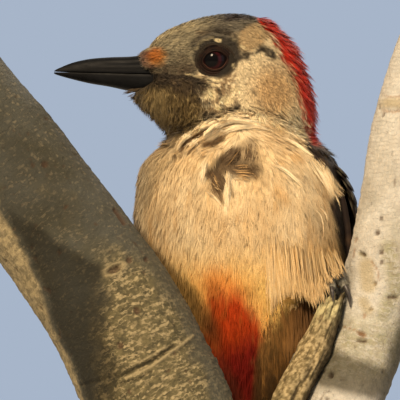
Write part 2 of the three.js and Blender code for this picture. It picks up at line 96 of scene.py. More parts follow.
# height; lower edge x, y; upper edge x, y; outward swell; thickness
WING_SLICES = [
    [227, 22.4, 20, 14, 33, 3.8, 3.4], [219, 29.2, 16.4, 13, 43.6, 6.6, 5.4],
    [208, 32, 16.2, 11, 49.6, 8.6, 6], [192, 32.4, 16.6, 7.4, 52, 10.4, 6],
    [174, 30, 20, 4.2, 51.4, 10.4, 5.6], [156, 25.6, 26.6, 2.4, 49.8, 8.6, 5],
    [138, 20, 33, 1.6, 46.2, 5.4, 4], [120, 14.6, 34.8, 1.2, 40.6, 3, 3],
    [102, 10.4, 31.6, 1, 34.6, 1.6, 2.2], [88, 6.8, 28.6, 1, 30.4, 0.8, 1.6],
]
WING_EDGE = 0.08
WING_TUCK = 4.2  # how far the right wing's lower edge draws in behind the breast
# height, middle y, half width, half thickness
TAIL_SLICES = [
    [136, 33.4, 7, 2.2], [122, 31.4, 10, 2.2], [106, 27.6, 12.4, 1.9], [90, 23.4, 14, 1.6],
    [76, 19.6, 14, 1.4], [64, 16.2, 11.4, 1.3], [54, 13.2, 6.6, 1.1], [47.5, 11.2, 2.2, 0.8],
]
TAIL_X, TAIL_ROOF = 4.6, 0.1
STEM_FOOT = 40.0
LIMB_LEFT_PATH = [[7, -17, STEM_FOOT], [6.5, -17.4, 72], [3, -17.6, 104], [-8.6, -17, 133],
                  [-22.9, -13.4, 154.5], [-33.4, -9.6, 176], [-45.2, -6, 194], [-60, -2.8, 213.5],
                  [-78, 1.2, 236], [-98, 6, 260]]
LIMB_LEFT_RADII = [26.4, 25.2, 24.2, 22, 20.6, 20, 19.3, 19.2, 19.2, 19.2]
LIMB_RIGHT_PATH = [[11, -17, 56], [16, -16, 84], [21, -13.4, 110], [27.6, -9, 137], [34.4, -4, 157],
                   [39.4, -0.8, 169], [43.2, 1.8, 182], [47.6, 4, 206], [53.8, 6, 238], [64.4, 8, 271]]
LIMB_RIGHT_RADII = [18.6, 18.6, 16.4, 12.6, 10.8, 10.6, 11.2, 11.4, 11.4, 11.4]
STUB_PATH = [[8, -14, 134], [16.7, -11, 154.8], [24.4, -7.6, 169.8], [29.8, -4.8, 184]]
STUB_RADII = [5.6, 5.2, 4.4, 3.2]
LEGS = {
    "left": {
        "thigh": [[13, 21, 177], [16.5, 12, 172], [19.4, 3.4, 167.6]],
        "ankle": [19.4, 1.6, 166.6],
        "pad": [28.2, 1.2, 188.4],
        "toes": [
            (0.6, [[30.2, 2.5, 185.3], [30.1, 4, 181.8], [31.3, 5.6, 178.4]]),
            (0.68, [[28.2, -2.2, 189], [28.5, -5.4, 188], [28.9, -8.2, 185.6], [29.2, -9, 182.4]]),
            (0.58, [[29.6, -2, 189.2], [32.2, -5.2, 187.8], [33.8, -6.8, 184.6], [34.3, -6.9, 180.8]]),
            (0.7, [[31.2, 3.5, 190.2], [33.1, 8.5, 191.6], [36.8, 12.8, 192.6], [41.5, 14.3, 192.2]]),
        ],
    },
    "right": {
        "thigh": [[-3, 20, 168], [-6.6, 12.4, 163.2], [-9, 7.6, 160]],
        "ankle": [-9.4, 6.4, 158.8],
        "pad": [-15.8, 4.8, 177.8],
        "toes": [
            (0.62, [[-13.5, 3, 175.1], [-11.8, 1.8, 172.1], [-10.5, 0.9, 169.7], [-10.3, -0.5, 167.9]]),
            (0.7, [[-16.9, 3.4, 182.6], [-19.1, 2.5, 187.3], [-20.5, 2.3, 191.2], [-22.8, 1.4, 192.9]]),
            (0.68, [[-20.2, 5.6, 184.2], [-23.9, 6.2, 190.3], [-25.8, 6.7, 193.8], [-28, 5.9, 195.7]]),
            (0.7, [[-19.8, 8, 177.4], [-26.3, 10.9, 176.9], [-31.9, 12.3, 176.5], [-35.3, 11.5, 176.5]]),
        ],
    },
}
THIGH_RADII = [11.5, 7.4, 3]
TARSUS_RADII = [2, 1.5, 1.4, 1.7]
TOE_RADII = [1.65, 1.35, 1.25, 1.15, 1.05]
CLAW_RADII = [1, 0.85, 0.6, 0.12]
SKEW = (0.35, 1, 0.2)


# ---- Numbers -------------------------------------------------------------------------------------
def ease(start, end, value):
    """0 before start, 1 after end, and 3t^2 - 2t^3 between them."""
    t = np.clip((value - start) / (end - start), 0, 1)
    return t * t * (3 - 2 * t)


def through(rows, shares):
    """Values on the uniform Catmull-Rom cubic through the rows, at shares from 0 to 1 of the way along."""
    rows = np.asarray(rows, float)
    points = np.vstack([2 * rows[0] - rows[1], rows, 2 * rows[-1] - rows[-2]])
    at = np.clip(np.asarray(shares, float), 0, 1) * (len(rows) - 1)
    k = np.minimum(at.astype(int), len(rows) - 2)
    t = (at - k)[..., None]
    a, b, c, d = (points[k + i] for i in range(4))
    return 0.5 * (2 * b + (c - a) * t + (2 * a - 5 * b + 4 * c - d) * t**2 + (3 * b - a - 3 * c + d) * t**3)


def unit(vectors):
    """Each vector over its own length."""
    return vectors / np.maximum(np.linalg.norm(vectors, axis=-1, keepdims=True), 1e-9)


def circle(count):
    """Turns about a full circle, evenly spaced from 0."""
    return np.linspace(0, math.tau, count, endpoint=False)


def edge_at(line, place):
    """The value at a place on a flat line of (place, value) pairs."""
    return np.interp(place, line[::2], line[1::2])


def lattice(cells, seed):
    """A steady pseudo-random value from 0 to 1 for each whole-number cell: a hash of its three numbers."""
    n = cells[..., 0] * 73856093 ^ cells[..., 1] * 19349663 ^ cells[..., 2] * 83492791 ^ seed * 2654435761
    n = (n ^ (n >> 13)) * 1274126177
    return ((n ^ (n >> 16)) & 0xFFFFFF) / 0xFFFFFF


def noise(points, size, seed=0, octaves=3):
    """Smooth value noise from -1 to 1: lattice values blended across each cell, halved at each octave."""
    total, weight, gain = 0, 0, 1.0
    for octave in range(octaves):
        place = np.asarray(points, float) / size * 2**octave
        cell = np.floor(place).astype(np.int64)
        t = place - cell
        t = t * t * (3 - 2 * t)
        value = 0.0
        for corner in np.ndindex(2, 2, 2):
            share = np.prod(np.where(np.array(corner) == 1, t, 1 - t), axis=-1)
            value = value + share * lattice(cell + np.array(corner), seed + octave)
        total, weight, gain = total + gain * (2 * value - 1), weight + gain, gain * 0.5
    return total / weight


def shade(red, green, blue):
    """A screen colour, 0 to 255, as the linear values that shaders and attributes hold."""
    return tuple(round(((c / 255 + 0.055) / 1.055) ** 2.4, 4) for c in (red, green, blue))


def mixed(under, over, share):
    """Two colours, colour arrays or names of colours, blended by a share from 0 to 1."""
    under, over = (tint(c) if isinstance(c, str) else np.asarray(c) for c in (under, over))
    share = np.asarray(share)[..., None]
    return under * (1 - share) + over * share


def to_head(points):
    """World places in the head's own frame: x forward, y to the bird's left, z up."""
    return (np.asarray(points) - HEAD_AT) * [-1, -1, 1]


def from_head(points):
    return np.asarray(points) * [-1, -1, 1] + HEAD_AT


def turned(side, back, height):
    """Places given beside the trunk's middle plane, turned with the body."""
    fore = TRUNK_AXIS[1] - back
    x = TRUNK_AXIS[0] + side * TURN_COS - fore * TURN_SIN
    y = TRUNK_AXIS[1] - side * TURN_SIN - fore * TURN_COS
    return np.stack([x, y, height + 0 * side], axis=-1)


def body_parts(points):
    """Places beside the body's own middle plane: to its left, forward of its axis, and up."""
    x, y = points[..., 0] - TRUNK_AXIS[0], points[..., 1] - TRUNK_AXIS[1]
    return x * TURN_COS - y * TURN_SIN, -x * TURN_SIN - y * TURN_COS, points[..., 2]


def seen_level(points):
    """The height at which world places show to an eye that looks up from in front."""
    return points[..., 2] + SLANT * (20 - points[..., 1])


def head_level(head):
    """The same height for places in the head's frame, near its side."""
    return head[..., 2] + SLANT * (1 + np.abs(head[..., 1]))


# ---- Meshes --------------------------------------------------------------------------------------
def put_mesh(name, points, faces, material, smooth=True, colours=None, uvs=None, normals=None):
    """A mesh object from arrays: points in mm, a list of face arrays, colours on points, UVs on points, and
    shading normals on points."""
    mesh = bpy.data.meshes.new(name)
    mesh.vertices.add(len(points))
    mesh.vertices.foreach_set("co", (np.asarray(points) * MM).astype(np.float32).ravel())
    corners = np.concatenate([np.asarray(f, np.int32).ravel() for f in faces])
    sizes = np.concatenate([np.full(len(f), f.shape[1], np.int32) for f in faces])
    mesh.loops.add(len(corners))
    mesh.loops.foreach_set("vertex_index", corners)
    mesh.polygons.add(len(sizes))
    mesh.polygons.foreach_set("loop_start", np.cumsum(sizes) - sizes)
    mesh.polygons.foreach_set("use_smooth", np.full(len(sizes), smooth))
    mesh.update(calc_edges=True)
    for key, values in (colours or {}).items():
        layer = mesh.color_attributes.new(name=key, type="FLOAT_COLOR", domain="POINT")
        rgba = np.ones((len(points), 4), np.float32)
        rgba[:, : values.shape[1]] = values
        layer.data.foreach_set("color", rgba.ravel())
    for key, values in (uvs or {}).items():
        layer = mesh.uv_layers.new(name=key)
        layer.data.foreach_set("uv", values[corners].astype(np.float32).ravel())
    if normals is not None:
        mesh.normals_split_custom_set_from_vertices(normals.astype(np.float32))
    piece = bpy.data.objects.new(name, mesh)
    bpy.context.scene.collection.objects.link(piece)
    mesh.materials.append(material)
    return piece


def sheet_faces(rows, cols, closed=True, start=0):
    """Quads between neighbouring points of a rows by cols grid, joined round its columns if closed."""
    i, j = np.meshgrid(np.arange(rows - 1), np.arange(cols if closed else cols - 1), indexing="ij")
    k = (j + 1) % cols
    below = (i + 1) * cols
    return (start + np.stack([i * cols + j, i * cols + k, below + k, below + j], -1)).reshape(-1, 4)


def closed_grid(grid, start=0):
    """A grid closed round its columns, with a fan over each end: its points and its faces."""
    rows, cols = grid.shape[:2]
    points = np.vstack([grid.reshape(-1, 3), grid[0].mean(0), grid[-1].mean(0)])
    j = np.arange(cols)
    k = (j + 1) % cols
    last = (rows - 1) * cols
    first_fan = np.stack([k, j, np.full(cols, rows * cols)], -1)
    last_fan = np.stack([last + j, last + k, np.full(cols, rows * cols + 1)], -1)
    return points, [sheet_faces(rows, cols, True, start), start + np.vstack([first_fan, last_fan])]


def joined(parts):
    """Several (points, faces) pairs as one."""
    points, faces, start = [], [], 0
    for part_points, part_faces in parts:
        points.append(part_points)
        faces += [f + start for f in part_faces]
        start += len(part_points)
    return np.vstack(points), faces


def outward(points, faces):
    """Faces turned round if the closed shell they make has a negative volume."""
    tris = np.vstack([f[:, :3] for f in faces] + [f[:, [0, 2, 3]] for f in faces if f.shape[1] == 4])
    a, b, c = (points[tris[:, i]] for i in range(3))
    if np.einsum("ij,ij->", a, np.cross(b, c)) < 0:
        return points, [f[:, ::-1] for f in faces]
    return points, faces


def tube(path, radii, rows, cols, up=(0, 0, 1), start=0, end=1):
    """Rings of a radius that follows the path's own list, square to a Catmull-Rom path: the grid, the
    outward directions, and the distance along."""
    shares = np.linspace(start, end, rows)
    middle = through(path, shares)
    step = 1e-3
    along = unit(through(path, shares + step) - through(path, shares - step))
    across = unit(np.cross(np.asarray(up, float), along))
    over = np.cross(along, across)
    turn = circle(cols)
    out = across[:, None] * np.cos(turn)[:, None] + over[:, None] * np.sin(turn)[:, None]
    radius = through(np.asarray(radii, float)[:, None], shares)
    length = np.concatenate([[0], np.cumsum(np.linalg.norm(np.diff(middle, axis=0), axis=1))])
    return middle[:, None] + out * radius[:, None], out, length


def grid_normals(grid):
    """Normals of a grid closed round its columns, from the cross product of its two differences."""
    down = np.gradient(grid, axis=0)
    round_ = np.roll(grid, -1, axis=1) - np.roll(grid, 1, axis=1)
    return unit(np.cross(round_, down))


# ---- Materials -----------------------------------------------------------------------------------
def material(name, roughness=0.6, metallic=0, specular=0.5, coat=0, coat_roughness=0.1, sheen=0):
    """A new material with its constants on the shader's own sockets, and its node tree and shader."""
    made = bpy.data.materials.new(name)
    made.use_nodes = True
    shader = made.node_tree.nodes["Principled BSDF"]
    settings = {"Roughness": roughness, "Metallic": metallic, "Specular IOR Level": specular,
                "Coat Weight": coat, "Coat Roughness": coat_roughness, "Sheen Weight": sheen,
                "Sheen Roughness": 0.5}
    for socket, value in settings.items():
        shader.inputs[socket].default_value = value
    return made, made.node_tree, shader


def put(tree, socket, value):
    """Feeds an input from a socket, or sets the input's own value."""
    if isinstance(value, bpy.types.NodeSocket):
        tree.links.new(value, socket)
    else:
        socket.default_value = (*value, 1) if socket.type == "RGBA" else value


def node(tree, kind, **values):
    """A node of a kind; a value named after an input feeds or sets that input, any other sets a property."""
    made = tree.nodes.new(kind)
    for key, value in values.items():
        label = key.replace("_", " ").title()
        if label in made.inputs:
            put(tree, made.inputs[label], value)
        else:
            setattr(made, key, value)
    return made


def ramp(tree, source, stops):
    """A colour ramp over (place, colour) stops."""
    made = node(tree, "ShaderNodeValToRGB", fac=source)
    for i, (place, colour) in enumerate(stops):
        stop = made.color_ramp.elements[i] if i < 2 else made.color_ramp.elements.new(place)
        stop.position = place
        stop.color = (*colour, 1)
    return made.outputs["Color"]


def toned(tree, colour, value, low, high):
    """A colour multiplied by a grey that runs from low to high with a value."""
    return blend(tree, 1, colour, ramp(tree, value, [(0, (low,) * 3), (1, (high,) * 3)]), "MULTIPLY")


def blend(tree, share, under, over, mode="MIX"):
    """A Mix node on colours; share, under and over are sockets or values."""
    made = node(tree, "ShaderNodeMix", data_type="RGBA", blend_type=mode)
    for number, value in ((0, share), (6, under), (7, over)):
        put(tree, made.inputs[number], value)
    return made.outputs[2]


def math_node(tree, operation, first, second=0):
    """A Math node on two sockets or values."""
    made = node(tree, "ShaderNodeMath", operation=operation)
    put(tree, made.inputs[0], first)
    put(tree, made.inputs[1], second)
    return made.outputs[0]


def times(tree, first, second):
    return math_node(tree, "MULTIPLY", first, second)


def lay(tree, colour, name, mask, share=None):
    """A colour of the sidebar laid over another where a mask is, by a share of it."""
    return blend(tree, mask if share is None else times(tree, mask, share), colour, paint(name))


def new_group(name, inputs, outputs):
    """An empty node group with (name, kind, default) inputs and (name, kind) outputs."""
    group = bpy.data.node_groups.new(name, "ShaderNodeTree")
    for label, kind, default in inputs:
        socket = group.interface.new_socket(label, in_out="INPUT", socket_type="NodeSocket" + kind)
        if default is not None:
            socket.default_value = default
    for label, kind in outputs:
        group.interface.new_socket(label, in_out="OUTPUT", socket_type="NodeSocket" + kind)
    return group, group.nodes.new("NodeGroupInput"), group.nodes.new("NodeGroupOutput")


def grain_group():
    """Grain: fine noise on a stretched place, as a value for colour and a height for bump."""
    if "Grain" in bpy.data.node_groups:
        return bpy.data.node_groups["Grain"]
    group, given, result = new_group(
        "Grain",
        [("Place", "Vector", None), ("Stretch", "Vector", (1, 1, 1)), ("Scale", "Float", 400),
         ("Detail", "Float", 4), ("Low", "Float", 0.35), ("High", "Float", 0.65)],
        [("Value", "Float"), ("Height", "Float")],
    )
    value = given.outputs
    stretch = node(group, "ShaderNodeVectorMath", operation="MULTIPLY")
    put(group, stretch.inputs[0], value["Place"])
    put(group, stretch.inputs[1], value["Stretch"])
    made = node(group, "ShaderNodeTexNoise", roughness=0.6, vector=stretch.outputs[0], scale=value["Scale"],
                detail=value["Detail"])
    spread = node(group, "ShaderNodeMapRange", value=made.outputs["Fac"], from_min=value["Low"],
                  from_max=value["High"])
    put(group, result.inputs["Value"], spread.outputs[0])
    put(group, result.inputs["Height"], made.outputs["Fac"])
    return group


def grain(tree, place, stretch=(1, 1, 1), scale=400, detail=4, low=0.35, high=0.65):
    """The grain group, placed with these values: its value and its height."""
    made = tree.nodes.new("ShaderNodeGroup")
    made.node_tree = grain_group()
    values = {"Place": place, "Stretch": stretch, "Scale": scale, "Detail": detail, "Low": low, "High": high}
    for key, value in values.items():
        put(tree, made.inputs[key], value)
    return made.outputs


def object_place(tree):
    return tree.nodes.new("ShaderNodeTexCoord").outputs["Object"]


def attribute(tree, name):
    return node(tree, "ShaderNodeAttribute", attribute_name=name)


def marking(tree):
    """The painted colour of a piece."""
    return attribute(tree, "Marking").outputs["Color"]


def separated(tree, name):
    """The three channels of a painted attribute."""
    parts = node(tree, "ShaderNodeSeparateColor", color=attribute(tree, name).outputs["Color"])
    return parts.outputs


def bump(tree, shader, height, strength=0.4, distance=0.0003):
    """A Bump node between a height and the shader's Normal."""
    made = node(tree, "ShaderNodeBump", strength=strength, distance=distance, height=height)
    put(tree, shader.inputs["Normal"], made.outputs["Normal"])


def roughened(tree, shader, value, low, high):
    """Roughness that runs from low to high with a value."""
    spread = node(tree, "ShaderNodeMapRange", to_min=low, to_max=high, value=value)
    put(tree, shader.inputs["Roughness"], spread.outputs[0])


def plumage_material():
    """Soft feather: the painted marking, a little lighter and darker in fine grains."""
    if "Plumage" in bpy.data.materials:
        return bpy.data.materials["Plumage"]
    made, tree, shader = material("Plumage", roughness=0.72, specular=0.22, sheen=0.12)
    value, _ = grain(tree, object_place(tree), scale=2600, detail=3, low=0.25, high=0.75)
    put(tree, shader.inputs["Base Color"], toned(tree, marking(tree), value, 0.84, 1.1))
    return made


BARBS, BARS = 260, 16  # waves in 100 mm of a vane: its barbs, and its pale bars


def vane_material():
    """A stiff vane: the painted ground, crossed by pale bars, with a shaft and slanting barbs. The Vane map
    holds millimetres over 100, across from the shaft and along from the root."""
    if "Vane" in bpy.data.materials:
        return bpy.data.materials["Vane"]
    made, tree, shader = material("Vane", roughness=0.68, specular=0.1)
    across, along, _ = node(tree, "ShaderNodeSeparateXYZ",
                            vector=node(tree, "ShaderNodeUVMap", uv_map="Vane").outputs["UV"]).outputs
    across = math_node(tree, "ABSOLUTE", math_node(tree, "SUBTRACT", across, 0.5))
    barb_line = math_node(tree, "SUBTRACT", along, times(tree, across, 0.9))
    barbs = math_node(tree, "SINE", times(tree, barb_line, math.tau * BARBS))
    wobble, _ = grain(tree, object_place(tree), scale=160, detail=2, low=0.3, high=0.7)
    bar_place = math_node(tree, "ADD", barb_line, times(tree, wobble, 0.006))
    wave = math_node(tree, "SINE", times(tree, bar_place, math.tau * BARS))
    given = attribute(tree, "Bars")
    band = node(tree, "ShaderNodeMapRange", from_min=0.12, from_max=0.5, value=wave)
    share = times(tree, band.outputs[0], given.outputs["Alpha"])
    ground = blend(tree, share, marking(tree), given.outputs["Color"])
    colour = toned(tree, ground, math_node(tree, "MULTIPLY_ADD", barbs, 0.5), 0.8, 1.12)
    put(tree, shader.inputs["Base Color"], colour)
    bump(tree, shader, barbs, 0.35, 0.00008)
    return made


def bare_skin_material():
    """Grey scaled skin of the legs: plates a shade apart, darker where the grain sinks."""
    made, tree, shader = material("Scaled_skin", roughness=0.55, specular=0.4)
    value, height = grain(tree, object_place(tree), scale=900, detail=5)
    stops = [(0, shade(84, 80, 68)), (0.6, shade(132, 128, 112)), (1, shade(164, 158, 138))]
    colour = ramp(tree, value, stops)
    put(tree, shader.inputs["Base Color"], blend(tree, 1, colour, marking(tree), "MULTIPLY"))
    bump(tree, shader, height, 0.3, 0.0002)
    return made


def horn_material(name, dark, light, roughness=0.42, specular=0.45):
    """Horn: streaks along the head's forward axis, worn paler in places, with fine scratches."""
    made, tree, shader = material(name, roughness=roughness, specular=specular)
    place = object_place(tree)
    streak, height = grain(tree, place, stretch=(0.18, 1, 1), scale=1400, detail=5, low=0.3, high=0.72)
    patch, _ = grain(tree, place, scale=120, detail=3, low=0.35, high=0.7)
    base = blend(tree, streak, dark, light)
    put(tree, shader.inputs["Base Color"], blend(tree, patch, base, tuple(0.7 * c for c in dark)))
    roughened(tree, shader, streak, roughness - 0.08, roughness + 0.14)
    bump(tree, shader, height, 0.25, 0.00012)
    return made


# ---- Markings ------------------------------------------------------------------------------------
def looks():
    """The sizes and colours in the sidebar."""
    return bpy.context.scene.woodpecker


def tint(name):
    return np.array(getattr(looks(), name))


def paint(name):
    """A colour of the sidebar as the plain tuple that sockets take."""
    return tuple(tint(name))


def spot(x, z, at_x, at_z, wide, high, soft=0.35):
    """1 inside an ellipse about a place, 0 outside it, with a soft rim."""
    return 1 - ease(1 - soft, 1 + soft, np.hypot((x - at_x) / wide, (z - at_z) / high))


def stroke(x, z, line, wide, soft=0.4):
    """1 along a broken line of places, given flat, fading to 0 at a half width from it."""
    line = np.reshape(line, (-1, 2)).astype(float)
    gap = np.full(np.shape(x), FAR)
    for (ax, az), (bx, bz) in zip(line[:-1], line[1:]):
        dx, dz = bx - ax, bz - az
        share = np.clip(((x - ax) * dx + (z - az) * dz) / (dx**2 + dz**2), 0, 1)
        gap = np.minimum(gap, np.hypot(x - ax - share * dx, z - az - share * dz))
    return 1 - ease(wide * (1 - soft), wide * (1 + soft), gap)


# the front edge of the red, as height and distance forward in the head's frame
RED_EDGE = (
    -40, -31.5, -26.1, -29.2, -20.1, -27.4, -14.7, -26.2, -8.7, -24.8, -4.5, -22.8, -0.3, -20.6, 3.9, -18.9,
    7.2, -17, 10.8, -14.4, 13.5, -12.6, 16, -12,
)


def red_share(head):
    """How much of the red of the nape a place takes: behind its front edge, which wavers a little."""
    x, z = head[..., 0], head[..., 2]
    edge = edge_at(RED_EDGE, z) + 0.7 * noise(head, 2.2, 5, 2)
    low = ease(-28.5, -25.5, z)
    return ease(0.5, -0.5, x - edge) * low


# marks of the face, later ones over earlier ones: colour, share, half width, softness of its edge, and a line
# of places forward and up in the head's frame
FACE_LINES = [
    ("lore", 0.9, 1.5, 0.5, (18, -2.6, 9.4, -3, 6.4, -2.6)),
    ("lore", 0.55, 1.5, 0.7, (9.6, 0.6, 7.4, -1.6, 6.4, -3.4)),
    ("line_dark", 0.55, 0.5, 0.6, (15.4, -1.5, 12.4, -1.6, 10.4, -0.6)),
    ("line_dark", 0.95, 0.7, 0.5, (19, -4.5, 14, -4.7, 9, -5, 5.5, -5.6, 3.8, -6.8, 2.4, -8)),
    ("line_dark", 0.6, 1, 0.7, (7.4, -5.8, 5.2, -7, 4.4, -9)),
    ("line_dark", 0.8, 2.3, 0.85, (14.6, -5.8, 19, -6.2, 24.4, -9)),
    ("fleck", 0.42, 0.3, 0.8, (8, -4.1, 5.4, -4.7, 3.4, -5.3)),
    ("eye_patch", 0.8, 1.3, 0.75, (5.8, 4.6, 3.8, 7.4, 0.4, 8.7, -4, 8.7, -6.4, 7.4, -6.8, 4.5)),
    ("eye_patch", 0.95, 1.6, 0.6, (-5.6, 1.2, -9.4, 1.5)),
    ("line_dark", 0.5, 0.7, 0.8, (3.6, 7, 0.4, 8.2, -5.2, 7.8)),
    ("crown", 0.8, 0.5, 0.6, (5, 4.7, 3.4, 6.6, 0.2, 8, -4.6, 7)),
    ("arc", 0.95, 0.5, 0.4, (5.3, 3.4, 4.2, 5, 2.6, 6.1, 0.4, 6.9)),
    ("fleck", 0.95, 0.5, 0.5, (-0.9, 6.2, -2, 5.9)),
    ("arc", 0.9, 0.5, 0.4, (-6, 6.1, -6.3, 6.1)),
    ("line_dark", 0.85, 0.5, 0.5, (-9.4, 1.8, -12.4, 1.8, -14, 3)),
    ("line_dark", 0.9, 1.2, 0.5, (-14.6, 3.8, -16, 3, -17.8, 1.4)),
    ("fleck", 0.9, 0.5, 0.4, (-8.6, 4.2, -9.2, 3.6)),
    ("fleck", 0.85, 0.36, 0.8, (1.6, -5.9, -1, -6.2, -2.4, -6)),
    ("line_dark", 0.6, 0.22, 0.5, (1.8, -6.7, -2, -6.9)),
    ("fleck", 0.85, 0.3, 0.8, (0.9, -7.4, -1.4, -7.5)),
    ("line_dark", 0.6, 0.22, 0.5, (1.6, -8, -2.4, -8.2)),
    ("fleck", 0.8, 0.42, 0.6, (-5.9, -1.6, -6, -2.2)),
    ("line_dark", 0.5, 0.25, 0.5, (-6.8, -2, -5.8, -3.4)),
    ("fleck", 1, 1.1, 0.4, (0.8, -9.6, 0.1, -10.9)),
    ("fleck", 1, 1.3, 0.4, (-3.3, -12, -4.9, -12)),
    ("fleck", 0.85, 0.6, 0.5, (-5.6, -9.4, -7, -8.8)),
    ("fleck", 0.9, 0.6, 0.5, (-1, -14.2, -2.4, -14.8)),
    ("fleck", 0.75, 0.5, 0.5, (2.6, -10.2, 2, -11.4)),
    ("line_dark", 0.9, 0.5, 0.5, (-1.7, -8.8, -2.2, -11.4)),
    ("line_dark", 0.85, 0.7, 0.5, (2.7, -13.3, 1.2, -13.2)),
    ("line_dark", 0.75, 0.5, 0.5, (4.4, -11.6, 3.6, -12.4)),
    ("line_dark", 0.7, 0.5, 0.5, (-2.6, -13.6, -3.2, -15.2)),
    ("line_dark", 0.85, 0.95, 0.5, (-5.6, -15, -7.4, -13.8)),
    ("line_dark", 0.5, 0.6, 0.6, (-11.6, -8.8, -12.6, -10)),
    ("line_dark", 0.95, 1.1, 0.4, (2.2, -16.8, 0.2, -16.5)),
]


def head_colours(head):
    """Markings of the head over places in its frame, each laid over the ones before, with painted shade over
    the forehead, lores, lower face and throat, and painted light along the forehead's rim.
    """
    blur = head + 0.36 * np.stack([noise(head, 1.3, 11, 3), 0 * head[..., 1], noise(head, 1.3, 12, 3)], -1)
    x, z = blur[..., 0], blur[..., 2] + SLANT * (1 + np.abs(head[..., 1]))
    fleck = noise(head * [1, 1, 1.35], 0.95, 21, 2)
    blotch = noise(head, 2.6, 23, 2)
    hair = noise(head * [0.55, 0.8, 0.8] + 0.5 * head[..., 2:3] * [1, 0, 0], 0.75, 22, 2)
    smooth = ease(-4.5, -9, x + 1.5 * blotch)
    brown = ease(-0.4, 0.32, fleck + 0.35 * blotch) * (0.84 - 0.6 * smooth)
    colour = mixed("cheek", "cheek_brown", brown)
    ear = mixed("ear", "cheek_brown", ease(0, 0.6, fleck) * 0.35)
    colour = mixed(colour, ear, spot(x, z, -18.6, -9.6, 6.5, 7.5, 0.6) * 0.85)
    # the forehead and the lores take colours darkened in part as painted shade
    brow = mixed("forehead", "fleck", ease(0.05, 0.6, hair) * 0.3)
    brow = mixed(brow, "lore", 0.3 * spot(x, z, 9.5, 0, 5, 4, 0.6) + 0.35 * ease(-0.1, -0.6, hair))
    before_eye = ease(3, 6, x) * ease(-3.8, -2.6, z + 1.5 * ease(2.6, 5.6, x))
    colour = mixed(colour, brow, np.maximum(before_eye, ease(8.2, 9.4, z) * ease(-12, -9, x)))
    # the lower face and throat: malar and throat colours, darkened in part as painted shade, laid where the
    # face is shaded
    deep = mixed("malar", "throat", ease(-8, -14, z - 0.3 * (x - 9)))
    lit = 0.25 + 0.55 * ease(-7, -13, z - 0.3 * (x - 9))
    deep = mixed(deep, "throat_pale", ease(0.1, 0.5, hair + 0.3 * blotch) * lit)
    deep = mixed(deep, "line_dark", ease(-0.05, -0.5, hair) * 0.65)
    shaded = ease(0.2, 4.6, x + 2.2 * fleck + 1.5 * blotch + 0.1 * (z + 10))
    shaded = shaded * ease(-4.6, -5.6, z - 0.9 * ease(4, 7, x))
    colour = mixed(colour, deep, shaded)
    chin = spot(x, z, 17.6, -14, 4.6, 5.4, 0.8) * (0.45 + 0.4 * ease(-0.3, 0.4, hair))
    colour = mixed(colour, "throat_pale", chin)
    # painted shade at the foot of the throat, above the collar
    colour = mixed(colour, tint("throat") * 0.5, spot(x, z, 5, -21, 6.5, 2.6, 0.7) * 0.75)
    # painted light: the rim of the forehead is lightened
    rim = z - np.interp(x, [4.9, 10.7, 15, 19.3], [9, 7.4, 5.2, 1.4])
    colour = mixed(colour, "fleck", ease(0, 3.4, rim) * ease(3, 7.5, x) * ease(20.5, 18.5, x) * 0.42)
    colour = mixed(colour, "crown", ease(7.4, 9.2, z) * ease(3.4, -2.5, x + 0.8 * fleck))
    crown = ease(10.8, 12.2, z + 0.1 * x + 0.6 * fleck) * ease(-2.2, -4.8, x) * 0.95
    colour = mixed(colour, "crown_dark", crown)
    buff = mixed("buff_patch", "ear", ease(0.1, 0.7, fleck + 0.5 * blotch) * 0.45)
    colour = mixed(colour, buff, spot(x, z - 0.42 * (-11.9 - x), -11.9, 7, 5, 4.1, 0.22))
    colour = mixed(colour, "eye_patch", spot(x, z, -1.1, 1.7, 7, 7.1, 0.12))
    ragged = np.clip(0.92 + 0.45 * hair + 0.35 * fleck, 0.3, 1.1)
    for name, share, wide, soft, line in FACE_LINES:
        colour = mixed(colour, name, np.clip(stroke(x, z, line, wide, soft) * share * ragged, 0, 1))
    hairs = mixed("nasal_hair", "fleck", ease(0.1, 0.6, hair) * 0.3)
    nasal = np.maximum(spot(x, z, 19.4, 0.2, 3, 2.4, 0.4), stroke(x, z, [[18, 1.7], [25, 2]], 1.2, 0.4))
    colour = mixed(colour, hairs, nasal * 0.85)
    gold = mixed("nasal", "nasal_gold", np.clip(ease(1, -1.6, z) + ease(16.4, 14.2, x), 0, 1) * 0.8)
    colour = mixed(colour, gold, spot(x + 0.5 * fleck, z + 0.4 * blotch, 16.9, 1.2, 2.9, 2.7, 0.45) * 0.95)
    red = mixed("nape", "nape_deep", ease(0, 0.9, noise(head, 1.6, 31, 2)) * 0.6)
    return mixed(colour, red, red_share(head))


def collar_height(x):
    """Where the head's coat ends above the collar, as a height in the head's frame over the place forward."""
    return np.interp(x, [-34, -24, -14, -7.5, -1.1, 2.8, 5.8, 10, 14, 20],
                     [-27, -22, -16, -15.4, -17.1, -18.5, -21, -23.1, -24, -24])


# the red of the belly: apparent height, its left edge and its right edge in x
BELLY_EDGES = [
    [90, 2, 4], [100, 2, 4], [125, 0, 6], [140, -4, 9], [150, -8, 9], [156, -11, 8.6], [160, -12, 8.4],
    [164, -12, 8.2], [168, -11.6, 8.2], [172, -10.6, 8.2], [175, -9.4, 7.4], [178, -8.4, 6.4],
    [182, -7.4, 4.4], [185, -7.2, 2.6], [188, -7.8, 0.8], [191, -7.8, -0.4], [194, -6.6, -2.6],
    [196, -5, -4.6],
]


def belly_inside(points):
    """How far inside the red of the belly a place lies, below 0 outside it, with a ragged, drawn out edge."""
    level = seen_level(points)
    rows = np.transpose(BELLY_EDGES)
    left, right = np.interp(level, rows[0], rows[1]), np.interp(level, rows[0], rows[2])
    ragged = 1.7 * noise(points * [1, 1, 0.16], 1.1, 41, 2) + 1.5 * noise(points * [1, 1, 0.3], 3.4, 42, 2)
    return np.minimum(points[..., 0] - left, right - points[..., 0]) + ragged


def belly_red(points):
    """How much of the red of the belly a place takes: between its two edges, softly."""
    _, fore, _ = body_parts(points)
    return ease(-2.4, 2.4, belly_inside(points)) * ease(-6, 4, fore) * ease(197, 188, seen_level(points))
